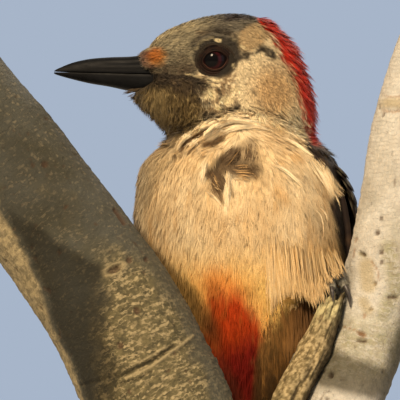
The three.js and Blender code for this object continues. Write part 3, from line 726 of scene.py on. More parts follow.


# marks of the collar and breast: colour, share, half width, softness, line of places in x and height. The
# collar_gap_shade marks are painted shade in the gaps between the folds and on the left side of the neck
BREAST_LINES = [
    ("down", 0.9, 1.9, 0.5, (-8, 221.4, -5.6, 221.2, -4.3, 219, -4.6, 217.2)),
    ("down", 0.85, 1.6, 0.6, (-4.4, 224.4, -1.8, 226.6, 1.2, 228.2)),
    ("down", 0.95, 2.5, 0.7, (-0.6, 223.4, 3, 222.8, 6, 222.4)),
    ("down", 0.6, 1.9, 0.8, (2.4, 228.6, 5, 230.6, 5.6, 226.4, 1.6, 226)),
    ("collar_gap_shade", 0.6, 1.2, 0.6, (-7, 221.4, -5.2, 220.4)),
    ("collar_gap_shade", 0.75, 0.8, 0.6, (-6.4, 217, -4.4, 215.4, -3.4, 213.2)),
    ("collar_gap_shade", 0.75, 0.8, 0.6, (0.6, 229, 1.4, 227)),
    ("collar_gap_shade", 0.65, 0.6, 0.6, (-3.6, 226.4, -2.4, 225.6)),
    ("collar_gap_shade", 0.6, 0.5, 0.6, (-0.6, 217, -0.2, 215)),
    ("collar_gap_shade", 0.6, 0.22, 0.6, (0.4, 223.4, 6, 223.3)),
    ("collar_gap_shade", 0.55, 0.22, 0.6, (0, 221.6, 6, 221.6)),
    ("breast_pale", 0.95, 0.7, 0.5, (-1.8, 221, -2, 216, -2.1, 211.4)),
    ("breast_pale", 0.95, 0.7, 0.5, (-8.8, 224.6, -9.6, 219)),
    ("collar_gap_shade", 0.95, 0.6, 0.5, (-15.8, 228.6, -14.2, 230.9, -11.9, 232.4, -9.6, 233.6, -7, 234.7)),
    ("collar_gap_shade", 0.8, 0.45, 0.5, (-16.5, 226.2, -14, 227.4, -12, 229.2, -10.2, 230.9)),
    ("collar_gap_shade", 0.95, 0.8, 0.8, (-8.8, 230.2, -7.8, 230.5, -6, 230.8, -3.9, 232.3, -2.9, 232.5)),
    ("collar_gap_shade", 0.8, 0.35, 0.5, (-4.6, 235.3, -3.4, 236, -2.2, 236.4)),
    ("collar_gap_shade", 0.85, 0.38, 0.5, (0.9, 238.3, 4.1, 237.9)),
    ("collar_gap_shade", 0.75, 0.3, 0.5, (1.8, 239.4, 4.2, 239.5, 6.2, 239)),
    ("collar_gap_shade", 0.6, 0.35, 0.5, (-10.4, 227.6, -9.4, 226.4, -8.4, 226.8)),
    ("collar_gap_shade", 0.75, 0.8, 0.5, (14.7, 236, 17.2, 234.9, 19.8, 234, 21.6, 233)),
    ("collar_gap_shade", 0.6, 0.5, 0.5, (18.1, 231.8, 20.7, 230.6, 22.7, 229.6)),
    ("breast_gold", 0.6, 1, 0.6, (17.6, 226.4, 19.6, 226)),
    ("breast_gold", 0.5, 1.7, 0.8, (13, 216, 15, 213.6)),
    ("down", 0.45, 0.5, 0.6, (13.2, 212.6, 14, 212.8)),
    ("down", 0.85, 1.7, 0.7, (-5, 220.6, -4, 222.8, -1.6, 225.2, 0.6, 227)),
    ("collar_gap_shade", 0.45, 1.3, 0.8, (-20.6, 230.6, -18.2, 232, -16.6, 232.6)),
    ("belly_shade", 0.8, 0.6, 0.7, (-1.6, 191, -1.2, 188.2, -2.4, 185.6)),
    ("belly_shade", 0.5, 1.3, 0.8, (2.6, 187.4, 4.4, 185.4)),
    ("down", 0.2, 2, 0.8, (22.4, 209.6, 25.4, 206, 27.4, 200)),
    ("flank_brown", 0.45, 2, 0.5, (31.8, 203, 33, 197, 33.4, 191)),
]
# the edge of the dark wing and side that show past the breast: height and x
WING_SHOW = (
    190, 36, 194.6, 33.9, 197.3, 32.8, 200.8, 31.4, 204.9, 30.3, 209.6, 28.4, 213, 28, 214.2, 30, 215.9,
    32.7, 219.3, 30.4, 221.6, 27.6, 225.7, 24, 228.5, 21.4, 231, 21, 235, 23,
)
# the edge of the painted shadow on the left side of the breast and neck: height and x
SHADE_EDGE = (
    150, -30, 195, -29, 206.4, -28, 210.3, -25.7, 218.3, -22.5, 221, -21.4, 226.6, -16.6, 229, -15.8, 232.5,
    -16.2, 238, -12,
)


def body_colours(points):
    """Markings of the neck, breast, belly, flanks, back and rump over world places, with painted shade on the
    left side, in the collar's gaps, under the fringe of the flank, along the limb and low on the belly.
    """
    side, fore, z = body_parts(points)
    streak = noise(points * [1, 1, 0.16], 1.1, 51, 2)
    broad = noise(points * [1, 1, 0.5], 7, 52, 2)
    colour = mixed("breast", "breast_pale", ease(-0.5, 0.7, broad) * 0.7)
    colour = mixed(colour, "breast_gold", ease(0.1, 0.75, streak) * 0.42)
    colour = mixed(colour, "breast_pale", ease(-0.2, -0.75, streak) * 0.35)
    # the parting, where grey down shows, and the ropes of the collar, with painted shade in the gaps between
    # them
    front = ease(-6, 0, fore)
    x, level = points[..., 0] + 0.3 * noise(points, 1.3, 53, 2), seen_level(points)
    colour = mixed(colour, "belly_buff", ease(204, 186, level) * 0.85)
    for name, share, wide, soft, line in BREAST_LINES:
        colour = mixed(colour, name, stroke(x, level, line, wide, soft) * front * share)
    glow = ease(-7, 0.5, belly_inside(points)) * ease(198, 188, level) * ease(166, 174, level)
    colour = mixed(colour, "belly_fringe", glow * ease(-2, 6, fore) * (0.5 + 0.3 * ease(-0.4, 0.4, streak)))
    # the red grows deeper downward, and browner and darker to the left by the limb: partly its own colour,
    # partly painted shade
    bright = mixed("belly_fringe", "belly_red", ease(191, 181, level + 4 * streak))
    bright = mixed(bright, "belly_brown_and_shade", ease(0.1, 0.6, streak) * 0.5 + 0.4 * ease(-2.5, -5.5, x))
    red = mixed(bright, "belly_deep_and_shade", ease(175, 166, level + 2.5 * streak - 0.35 * (x - 2)))
    red = mixed(red, "belly_dark_shade", ease(166, 156, level + 2 * streak) * ease(4, -4, x) * 0.8)
    colour = mixed(colour, red, belly_red(points))
    # painted shade under the fringe of the flank, and along the limb
    edge_under = np.interp(x, [4.5, 6.5, 10, 13, 15, 19, 24], [150, 168, 174, 177.5, 182.5, 184.5, 187])
    under = ease(2.5, -3.5, level - edge_under + 1.2 * streak) * ease(3, 8, x) * ease(-8, 0, fore)
    colour = mixed(colour, "belly_shade", under * 0.85)
    colour = mixed(colour, "belly_under_shade", under * ease(0, -14, level - edge_under) * 0.7)
    limb = x - np.interp(level, [154, 168, 178, 187.5, 199, 209, 216],
                         [0.3, -6.2, -10.1, -16, -24.4, -31, -35])
    reach = np.interp(level, [150, 168, 178, 188, 195, 205, 214], [5, 5, 7, 6.4, 4.4, 2.6, 1.6])
    shaded = ease(1, 0.35, limb / reach + 0.2 * streak) * ease(-4, 2, fore)
    shaded = shaded * (0.3 + 0.5 * ease(168, 178, level))
    colour = mixed(colour, 0.75 * tint("belly_shade"), shaded)
    bar = np.sin((z + 1.2 * noise(points, 5, 61, 2) - 0.18 * np.abs(side)) * 2 * np.pi / 5.6)
    flank = ease(14, 20, np.abs(side)) * ease(170, 156, z) + ease(150, 138, z)
    flank = np.clip(flank, 0, 1) * (1 - belly_red(points))
    colour = mixed(colour, "flank_bar", flank * ease(0.1, 0.6, bar) * 0.75)
    # the back and rump
    edge = np.interp(z, [190, 205, 216, 224, 233, 240], [-8, -7, -2.5, 0.5, 0.5, -6])
    back = ease(1.5, -1.5, fore - edge) * ease(243, 238, z)
    pale_bar = ease(-0.1, 0.5, bar) * (1 - 0.8 * ease(212, 219, z))
    colour = mixed(colour, mixed("back", "bar", pale_bar), back)
    rump = ease(-7, -11, fore) * ease(152, 143, z) * ease(112, 120, z)
    colour = mixed(colour, mixed("rump", "back", ease(0.7, 0.9, bar) * 0.5), rump)
    shown = ease(-0.5, 0.5, x - edge_at(WING_SHOW, level) + 0.5 * streak)
    shown = shown * ease(-16, -10, fore) * ease(188, 193, level) * ease(236, 231, level)
    scaly = ease(0.1, 0.6, noise(points * [1, 1, 0.5], 1.4, 54, 2))
    colour = mixed(colour, mixed("wing_shade", "flank_brown", scaly * 0.5), shown)
    # painted shadow: the left side of the breast and neck is darkened
    shaded = ease(0.7, -0.7, x - edge_at(SHADE_EDGE, level)) * ease(-12, -5, fore) * ease(196, 206, z)
    return colour * (1 - 0.28 * shaded)[..., None]


def plumage(points):
    """The marking of the coat at world places: the head's above the collar, the body's below it."""
    head = to_head(points)
    over = head_level(head) - collar_height(head[..., 0])
    share = ease(0.7, -0.7, over + 0.5 * noise(points, 2, 71, 2))
    share = np.where(red_share(head) > 0.05, ease(-25.5, -28.5, head[..., 2]), share)
    return mixed(head_colours(head), body_colours(points), share)


# ---- Skin ----------------------------------------------------------------------------------------
SKIN = {}


def bill_gap(x, z):
    """1 where the bill shows between the feathers at its base, over places forward and up."""
    edge = np.interp(z, [-10.4, -9.4, -8.4, -7.4, -4.6, -3.4, -2.8, -1, 1, 2.4],
                     [27, 23.6, 20, 17.4, 17.2, 19.4, 21, 21.6, 22.6, 24.6])
    return ease(-0.4, 0.5, x - edge)


def head_shell():
    """Rings down the head, each an upright oval between a crown point and a throat point that follow two
    profile lines, sunk below the coat by its depth there. Points in the head's frame."""
    rows, cols = 84, 112
    slices = through(HEAD_SLICES, np.linspace(0, 1, rows))[:, None]
    cosine, sine = np.cos(circle(cols)), np.sin(circle(cols))
    crown, throat = slices[..., 0:2], slices[..., 2:4]
    middle = throat + (crown - throat) * slices[..., 5:6]
    end = np.where((cosine > 0)[:, None], throat, crown)
    place = middle + (end - middle) * np.abs(cosine)[:, None]
    wide = slices[..., 4] * np.sign(sine) * np.abs(sine) ** HEAD_ROUND
    grid = np.stack([place[..., 0], wide, place[..., 1]], -1)
    normals = grid_normals(grid)
    if np.sum(normals * (grid - grid.mean((0, 1)))) < 0:
        normals = -normals
    x, z = grid[..., 0], grid[..., 2]
    depth = 0.5 + 0.3 * ease(6, 0, z) + 0.9 * ease(-15, -22, x) + 0.5 * ease(-14, -22, z)
    near = np.maximum(ease(15, 19, x), ease(9, 6, np.hypot(x + 0.6, z + 0.9)))
    socket = 1.5 * ease(6.2, 4.6, np.hypot(x + 0.6, z + 1) / 1.05)
    depth = depth * (1 - near) + 0.4 * near + socket + 2.6 * bill_gap(x, z)
    return grid - normals * depth[..., None]


def trunk_shell():
    """Rings down the body, half an oval in front and half behind, about an axis turned a little aside."""
    rows, cols = 110, 120
    slices = through(TRUNK_SLICES, np.linspace(0, 1, rows))[:, None]
    turn = circle(cols)
    cosine, sine = np.cos(turn), np.sin(turn)
    z, x, y, wide, front, behind = (slices[..., i] for i in range(6))
    depth = looks().coat_depth / MM * np.where(cosine > 0, 1, 0.75)
    side = np.maximum(wide - depth, 0.4 * wide) * sine
    reach = np.where(cosine > 0, front, behind)
    fore = np.maximum(reach - depth, 0.4 * reach) * cosine
    x, y = x + side * TURN_COS - fore * TURN_SIN, y - side * TURN_SIN - fore * TURN_COS
    return np.stack([x, y, z + 0 * turn], -1)


# folds of the collar and breast: half width, height of the fold, line of places in x and height
FOLDS = [
    (1, 1.3, (-16.7, 230.9, -15, 232.2, -11.9, 233.9, -8.3, 235.8, -4, 237.6, 1.4, 239.2)),
    (0.9, 1.4, (-16.5, 226.8, -13.8, 228.9, -10.5, 231.1, -7.8, 233.2, -6, 235, -2.7, 236.9, 0.7, 237.6, 4.1,
        237.4)),
    (0.8, 1, (-11, 228.4, -9.6, 230.5, -7.3, 232.5, -5, 234.6)),
    (0.7, -1.6, (-15.8, 228.7, -13.8, 231.4, -11, 233, -7.2, 234.7)),
    (0.6, -1, (-16.7, 225.8, -13.8, 228, -10, 231.1)),
    (1.1, -1.9, (-8.6, 230.4, -7.6, 229.8, -5.9, 231.1, -3, 232.5)),
    (0.5, -1, (1.2, 238.2, 4.3, 238)),
    (1.6, 1, (5.5, 238.2, 13, 235.6, 20, 231.8, 25.5, 225)),
    (0.8, -1, (6, 236.6, 12, 233.6, 18.5, 229.2)),
    (1.4, -1.3, (0.8, 227.6, -3, 225.4, -6.2, 221.6, -4.4, 218, -4.4, 214.8, -3.3, 212.8)),
    (1.6, -0.8, (-0.6, 222.8, 3, 222.4, 6.2, 222.2)),
    (1.5, 0.8, (-4.6, 227.6, -8.6, 224.5, -9.6, 219, -8.6, 211)),
]


def folded(points, normals):
    """The skin moved along its normals by the folds in front and by long soft swells that run downward."""
    _, fore, z = body_parts(points)
    level = seen_level(points)
    rise = 0.0
    for wide, height, line in FOLDS:
        rise = rise + height * stroke(points[:, 0], level, line, wide, 0.8) * ease(2, 9, fore)
    swell = noise(points * [1, 1, 0.32], 5, 81, 2) * ease(245, 232, z)
    return points + normals * (rise + 0.55 * swell)[:, None]


def mesh_arrays(mesh):
    """Vertex places in mm and the corner triangles of a mesh."""
    places = np.empty(len(mesh.vertices) * 3, np.float32)
    mesh.vertices.foreach_get("co", places)
    mesh.calc_loop_triangles()
    corners = np.empty(len(mesh.loop_triangles) * 3, np.int32)
    mesh.loop_triangles.foreach_get("vertices", corners)
    return places.reshape(-1, 3).astype(float) / MM, corners.reshape(-1, 3)


def vertex_normals(points, tris):
    """Normals on points: the area-weighted sum of the faces round each."""
    face = np.cross(points[tris[:, 1]] - points[tris[:, 0]], points[tris[:, 2]] - points[tris[:, 0]])
    total = np.stack([np.bincount(tris.ravel(), np.repeat(face[:, i], 3), len(points)) for i in range(3)], -1)
    return unit(total)


def relaxed(points, tris, times, share):
    """Each point moved a share of the way to the average of its neighbours, so many times over."""
    ends = np.vstack([tris[:, [0, 1]], tris[:, [1, 2]], tris[:, [2, 0]]])
    ends = np.vstack([ends, ends[:, ::-1]])
    count = np.bincount(ends[:, 0], minlength=len(points))[:, None]
    share = np.broadcast_to(share, len(points))[:, None]
    for _ in range(times):
        total = [np.bincount(ends[:, 0], points[ends[:, 1], i], len(points)) for i in range(3)]
        points = points + share * (np.stack(total, -1) / count - points)
    return points


def voxel_mesh(name, parts, size):
    """Closed forms joined into one even mesh by a voxel remesh: its points and triangles."""
    points, faces = joined([outward(*part) for part in parts])
    mesh = bpy.data.meshes.new(name)
    mesh.from_pydata((points * MM).tolist(), [], [f for part in faces for f in part.tolist()])
    piece = bpy.data.objects.new(name, mesh)
    bpy.context.scene.collection.objects.link(piece)
    remesh = piece.modifiers.new("Even", "REMESH")
    remesh.mode = "VOXEL"
    remesh.voxel_size = size * MM
    evaluated = piece.evaluated_get(bpy.context.evaluated_depsgraph_get())
    made = bpy.data.meshes.new_from_object(evaluated)
    arrays = mesh_arrays(made)
    quads = np.empty(len(made.loops), np.int32)
    made.loops.foreach_get("vertex_index", quads)
    bpy.data.objects.remove(piece)
    bpy.data.meshes.remove(mesh)
    bpy.data.meshes.remove(made)
    return *arrays, quads.reshape(-1, 4)


# where the coat turns aside: place in x and height, half sizes, and the way it lies there
COWLICKS = [
    ((-9, 232.6), (9.5, 5), (-0.80, -0.60)), ((0, 238.4), (6.5, 3.4), (-0.95, -0.30)),
    ((3, 222.8), (4, 2.4), (0.98, -0.2)), ((-9.4, 218.4), (3.6, 6.5), (-0.30, -0.95)),
    ((-4.6, 216.4), (2.8, 4), (0.62, -0.78)), ((12, 234.4), (9, 4.4), (0.82, -0.57)),
    ((18, 226), (7, 7), (0.62, -0.78)), ((27, 217), (5, 7), (0.5, -0.86)),
]


def lie(points):
    """Which way the coat lies at world places: back along the head, turning down the neck, then down the
    body, and aside at the cowlicks. Forward over the nostrils."""
    head = to_head(points)
    x, z = head[..., 0], head_level(head)
    drop = 0.22 + 2.4 * ease(4, -27, x) + 3.0 * ease(-8, -20, z) + 1.2 * ease(-4, -9, z) * ease(18, 12, x)
    over_head = unit(np.stack([np.ones_like(x), 0 * x, -drop], -1))
    over_head = mixed(over_head, [-1, 0, -0.05], spot(x, z, 18.6, 1, 3.8, 3.4, 0.4))
    over_head = mixed(over_head, [-0.5, 0, -0.87], spot(x, z, 21.5, -11, 5, 4.6, 0.5))
    over_head = mixed(over_head, [0.05, 0, -1], spot(x, z, 14.5, -15, 4.5, 4.5, 0.5) * 0.8)
    side, fore, _ = body_parts(points)
    spread = 0.16 * np.clip(side / 20, -1, 1)
    over_body = np.stack([spread * TURN_COS, -spread * TURN_SIN, -np.ones_like(x)], -1)
    level = seen_level(points)
    for (at_x, at_z), (wide, high), (to_x, to_z) in COWLICKS:
        share = spot(points[..., 0], level, at_x, at_z, wide, high, 0.4) * ease(2, 8, fore)
        over_body = mixed(over_body, [to_x, 0, to_z], share)
    return mixed(over_body, over_head, ease(-1.5, 1.5, z - collar_height(x)))


def build_skin():
    """Makes the one skin of head, neck, trunk and thighs, and keeps its arrays with a cell map to look up
    the nearest skin point."""
    head = from_head(head_shell())
    parts = [closed_grid(head), closed_grid(trunk_shell())]
    for leg in LEGS.values():
        radii = np.array(THIGH_RADII) - [2.2, 1.4, 0.6]
        parts.append(closed_grid(tube(leg["thigh"], radii, 24, 40)[0]))
    rump = [[4.6, 31, 150], [4.6, 31.4, 132], [4.6, 29.6, 120], [4.6, 27, 108]]
    parts.append(closed_grid(tube(rump, [13, 9.6, 7, 2.5], 30, 48)[0]))
    points, tris, quads = voxel_mesh("skin_forms", parts, 0.9)
    z = points[:, 2]
    collar = ease(226, 231, z) * ease(244, 239, z)
    points = relaxed(points, tris, 4, 0.5)
    points = relaxed(points, tris, 26, 0.5 * collar)
    points = relaxed(points, tris, 10, 0.5 * ease(172, 164, z))
    normals = vertex_normals(points, tris)
    points = folded(points, normals)
    points = relaxed(points, tris, 1, 0.4)
    normals = vertex_normals(points, tris)
    flow = lie(points)
    flow = unit(flow - normals * np.sum(flow * normals, 1, keepdims=True))
    # nearest point by cells: each cell takes a point in it, then hands it on to its neighbours
    size, margin = 1.2, 8.0
    low = points.min(0) - margin
    count = np.ceil((points.max(0) + margin - low) / size).astype(int)
    cells = np.full(count, -1, np.int64)
    cells[tuple(((points - low) / size).astype(int).T)] = np.arange(len(points))
    centres = np.stack(np.meshgrid(*[np.arange(n) for n in count], indexing="ij"), -1) * size + low + size / 2
    for _ in range(6):
        for axis in range(3):
            for shift in (-1, 1):
                other = np.roll(cells, shift, axis)
                known = other >= 0
                mine = cells[known]
                gap = np.sum((centres[known] - points[mine]) ** 2, -1)
                gap[mine < 0] = FAR
                closer = np.sum((centres[known] - points[other[known]]) ** 2, -1) < gap
                cells[known] = np.where(closer, other[known], mine)
    SKIN.update(points=points, tris=tris, quads=quads, normals=normals, flow=flow)
    SKIN.update(cells=cells, low=low, size=size)


def nearest(places):
    """The index of the skin point nearest each world place."""
    at = ((places - SKIN["low"]) / SKIN["size"]).astype(int)
    at = np.clip(at, 0, np.array(SKIN["cells"].shape) - 1)
    return np.maximum(SKIN["cells"][tuple(np.moveaxis(at, -1, 0))], 0)


def front_of(at):
    """The y of the skin's front at places in x and apparent height, from cells of its foremost points."""
    if "front" not in SKIN:
        points, size = SKIN["points"], 1.0
        flat = np.stack([points[:, 0], seen_level(points)], -1)
        low = flat.min(0) - 12
        count = np.ceil((flat.max(0) + 12 - low) / size).astype(int)
        front = np.full(count, 1e3)
        cell = ((flat - low) / size).astype(int)
        np.minimum.at(front, (cell[:, 0], cell[:, 1]), points[:, 1])
        for _ in range(10):
            around = np.stack([np.roll(front, (i, j), (0, 1)) for i in (-1, 0, 1) for j in (-1, 0, 1)])
            known = around < 900
            average = np.where(known, around, 0).sum(0) / np.maximum(known.sum(0), 1)
            front = np.where(front < 900, front, np.where(known.any(0), average, 1e3))
        front = (front + sum(np.roll(front, s, a) for s in (-1, 1) for a in (0, 1))) / 5
        SKIN.update(front=front, front_low=low, front_size=size)
    place = (at - SKIN["front_low"]) / SKIN["front_size"] - 0.5
    cell = np.clip(np.floor(place).astype(int), 0, np.array(SKIN["front"].shape) - 2)
    t = np.clip(place - cell, 0, 1)
    i, j, front = cell[..., 0], cell[..., 1], SKIN["front"]
    low = front[i, j] * (1 - t[..., 0]) + front[i + 1, j] * t[..., 0]
    high = front[i, j + 1] * (1 - t[..., 0]) + front[i + 1, j + 1] * t[..., 0]
    return low * (1 - t[..., 1]) + high * t[..., 1]


def settled(places):
    """World places dropped onto the skin along its normal, with the normal there."""
    index = nearest(places)
    normal = SKIN["normals"][index]
    height = np.sum((places - SKIN["points"][index]) * normal, -1, keepdims=True)
    return places - normal * np.clip(height, -4, 4), index


def skin_unwrap(points):
    """The skin's own unwrap: u is the turn about a line through head and body, v runs from the bill down
    to the tail along that line."""
    line = [[-30, 19, 253], [-6, 19, 250], [4, 20, 236], [3, 23, 210], [4, 27, 165], [4.6, 27, 108]]
    middle = through(line, np.linspace(0, 1, 120))
    gap = np.linalg.norm(points[:, None] - middle[None], axis=-1)
    index = gap.argmin(1)
    along = unit(np.gradient(middle, axis=0))[index]
    away = points - middle[index]
    first = unit(np.cross(along, [0, 1, 0]))
    second = np.cross(along, first)
    turn = np.arctan2(np.sum(away * second, -1), np.sum(away * first, -1)) / (2 * np.pi) + 0.5
    stretch = np.sum(away * along, -1) / 220
    return np.stack([0.01 + 0.98 * turn, np.clip(0.02 + 0.94 * (index / 119 + stretch), 0, 1)], -1)


# ---- Coat ----------------------------------------------------------------------------------------
TUFT_VARY = 0.16  # how much shorter or longer one tuft is than another
BAKE_HALF = 0.0013  # half the size of a strand's own patch in the bake map
BAKE_ENDS = 0.0005, 0.9995


def scatter(share, spacing, seed):
    """Places spread evenly over the skin where the share is high: random places by area, one kept for each
    small cell, and fewer where the share is low."""
    rng = np.random.default_rng(seed)
    points, tris = SKIN["points"], SKIN["tris"]
    corner_share = share[tris].mean(1)
    tris = tris[corner_share > 0.02]
    corner_share = corner_share[corner_share > 0.02]
    a, b, c = (points[tris[:, i]] for i in range(3))
    area = 0.5 * np.linalg.norm(np.cross(b - a, c - a), axis=-1)
    wanted = int(area.sum() / spacing**2 * 5)
    pick = rng.choice(len(tris), wanted, p=area / area.sum())
    u, v = rng.random((2, wanted, 1))
    over = u + v > 1
    u, v = np.where(over, 1 - u, u), np.where(over, 1 - v, v)
    places = a[pick] + u * (b[pick] - a[pick]) + v * (c[pick] - a[pick])
    kept = rng.random(wanted) < corner_share[pick] * 1.2
    places = places[kept]
    cell = np.floor(places / spacing).astype(np.int64)
    key = cell[:, 0] * 1000003 + cell[:, 1] * 10007 + cell[:, 2]
    return places[np.unique(key, return_index=True)[1]]


def paired(values):
    """Values on the centre line of each strand, given to both its edges and once to its tip."""
    return np.concatenate([np.repeat(values[:, :, :-1], 2, axis=2), values[:, :, -1:]], 2)


def tufts(name, roots, length, width, rise, strands=8, steps=3, fine=0.5, splay=0.25, stand=0, bow=0,
          root_dark=0.55, seed=1, swerve=0.16, sheen=1, tip_pale=0, lean=0.2, keen=False):
    """A piece of coat. Each tuft follows the lie of the coat from its root over the skin, and fans into
    strands: a strand at share s across reaches (1 - 0.3 s^2) of the length, stands s times half the width
    to the side, and rises with the share along; it narrows to a point."""
    rng = np.random.default_rng(seed)
    count = len(roots)
    length = length * rng.uniform(1 - TUFT_VARY, 1 + TUFT_VARY, count)
    walked = []
    place, index = settled(roots)
    turn = rng.normal(0, swerve, count)[:, None]
    for _ in range(steps + 1):
        up, way = SKIN["normals"][index], SKIN["flow"][index]
        way = unit(way + np.cross(up, way) * turn)
        walked.append((place, up, way))
        place, index = settled(place + way * (length / steps)[:, None])
    path, normal, forward = (np.stack(v, 1) for v in zip(*walked))
    across = unit(np.cross(normal, forward))

    across_share = np.linspace(-1, 1, strands) + rng.uniform(-0.5, 0.5, (count, strands)) / strands
    reach = (1 - 0.3 * across_share**2) * rng.uniform(1 - splay, 1, (count, strands))
    levels = np.arange(steps + 1) / steps
    along = reach[..., None] * levels  # tufts x strands x levels
    at = np.clip(along * steps, 0, steps - 1e-6)
    low = at.astype(int)
    part = (at - low)[..., None]
    row = np.arange(count)[:, None, None]

    def carried(values):
        return values[row, low] * (1 - part) + values[row, low + 1] * part

    centre, up, over, ahead = carried(path), unit(carried(normal)), unit(carried(across)), carried(forward)
    length, beside = length[:, None, None], across_share[..., None]
    fan = 0.3 + 0.7 * along**0.75
    drift = rng.normal(0, splay, (count, strands))[..., None] * along**1.6
    sideways = (beside * fan + drift * 0.5) * width * 0.5
    lift = rise * along - 0.25 + 0.14 * width * (1 - beside**2)
    lift = lift + rng.normal(0, 0.1, (count, strands))[..., None] * along * length * 0.35
    lift = lift + stand * length * (along - bow * along**2)
    lift = np.where(levels == 0, np.minimum(lift, -0.1), np.maximum(lift, 0.05))
    centre = centre + over * sideways[..., None] + up * lift[..., None]
    centre = centre - ahead * (0.4 * stand * length[..., None] * along[..., None])
    half = 0.5 * fine * width / strands * (2.1 - 1.1 * levels) * rng.uniform(0.7, 1.3, (count, strands, 1))
    tilt = rng.normal(0, 0.3, (count, strands, 1, 1))
    edge = (over + up * tilt) * half[..., None]
    left, right = (centre - edge)[:, :, :-1], (centre + edge)[:, :, :-1]
    pairs = np.stack([left, right], 3).reshape(count, strands, steps * 2, 3)
    points = np.concatenate([pairs, centre[:, :, -1:]], 2)
    each = steps * 2 + 1
    # shading turns most of the way to the skin's own, so that the coat reads as one soft surface
    tip = rng.normal(0, lean, (count, strands, 1, 1))
    soft = paired(unit(up + over * tip + rng.normal(0, 0.3 * lean, (count, 1, 1, 3))))

    base = (np.arange(count * strands) * each)[:, None, None]
    ladder = np.arange(steps - 1)[:, None] * 2 + np.array([1, 0, 2, 3])
    quads = (base + ladder[None]).reshape(-1, 4)
    tips = (base[:, 0] + np.array([steps * 2 - 1, steps * 2 - 2, steps * 2])).reshape(-1, 3)

    colour = plumage(centre) if keen else carried(plumage(path))
    tone = rng.normal(1, 0.07 * sheen, (count, 1, 1)) * rng.normal(1, 0.11 * sheen, (count, strands, 1))
    tone = tone * (root_dark + (1 - root_dark) * ease(0, 0.55, levels))
    tone = tone * (1 + tip_pale * ease(0.6, 1, levels))
    colours = paired(np.clip(colour * tone[..., None], 0, 1))

    patch = skin_unwrap(path[:, 0])[:, None, None]
    local = np.stack([beside * BAKE_HALF + 0 * levels, BAKE_HALF * (2 * levels - 1) + 0 * beside], -1)
    side_step = np.concatenate([np.tile([-1, 1], steps), [0]])[None, None, :, None] * [0.0001, 0]
    uvs = np.clip(patch + paired(local) + side_step, *BAKE_ENDS)
    return put_mesh(name, points.reshape(-1, 3), [quads, tips], plumage_material(),
                    colours={"Marking": colours.reshape(-1, 3)}, uvs={"OFBake": uvs.reshape(-1, 2)},
                    normals=soft.reshape(-1, 3))


def under_wings(points):
    """1 where the folded wings hide the skin, 0 elsewhere."""
    side, fore, z = body_parts(points)
    back = TRUNK_AXIS[1] - fore
    rows = np.array(WING_SLICES)[::-1]
    low_x, low_y, high_x, high_y = (np.interp(z, rows[:, 0], rows[:, i]) for i in range(1, 5))
    span = np.hypot(high_x - low_x, high_y - low_y)
    share = ((np.abs(side) - low_x) * (high_x - low_x) + (back - low_y) * (high_y - low_y)) / span**2
    return ease(0.14, 0.24, share) * ease(0.98, 0.9, share) * ease(226, 221, z) * ease(84, 90, z)


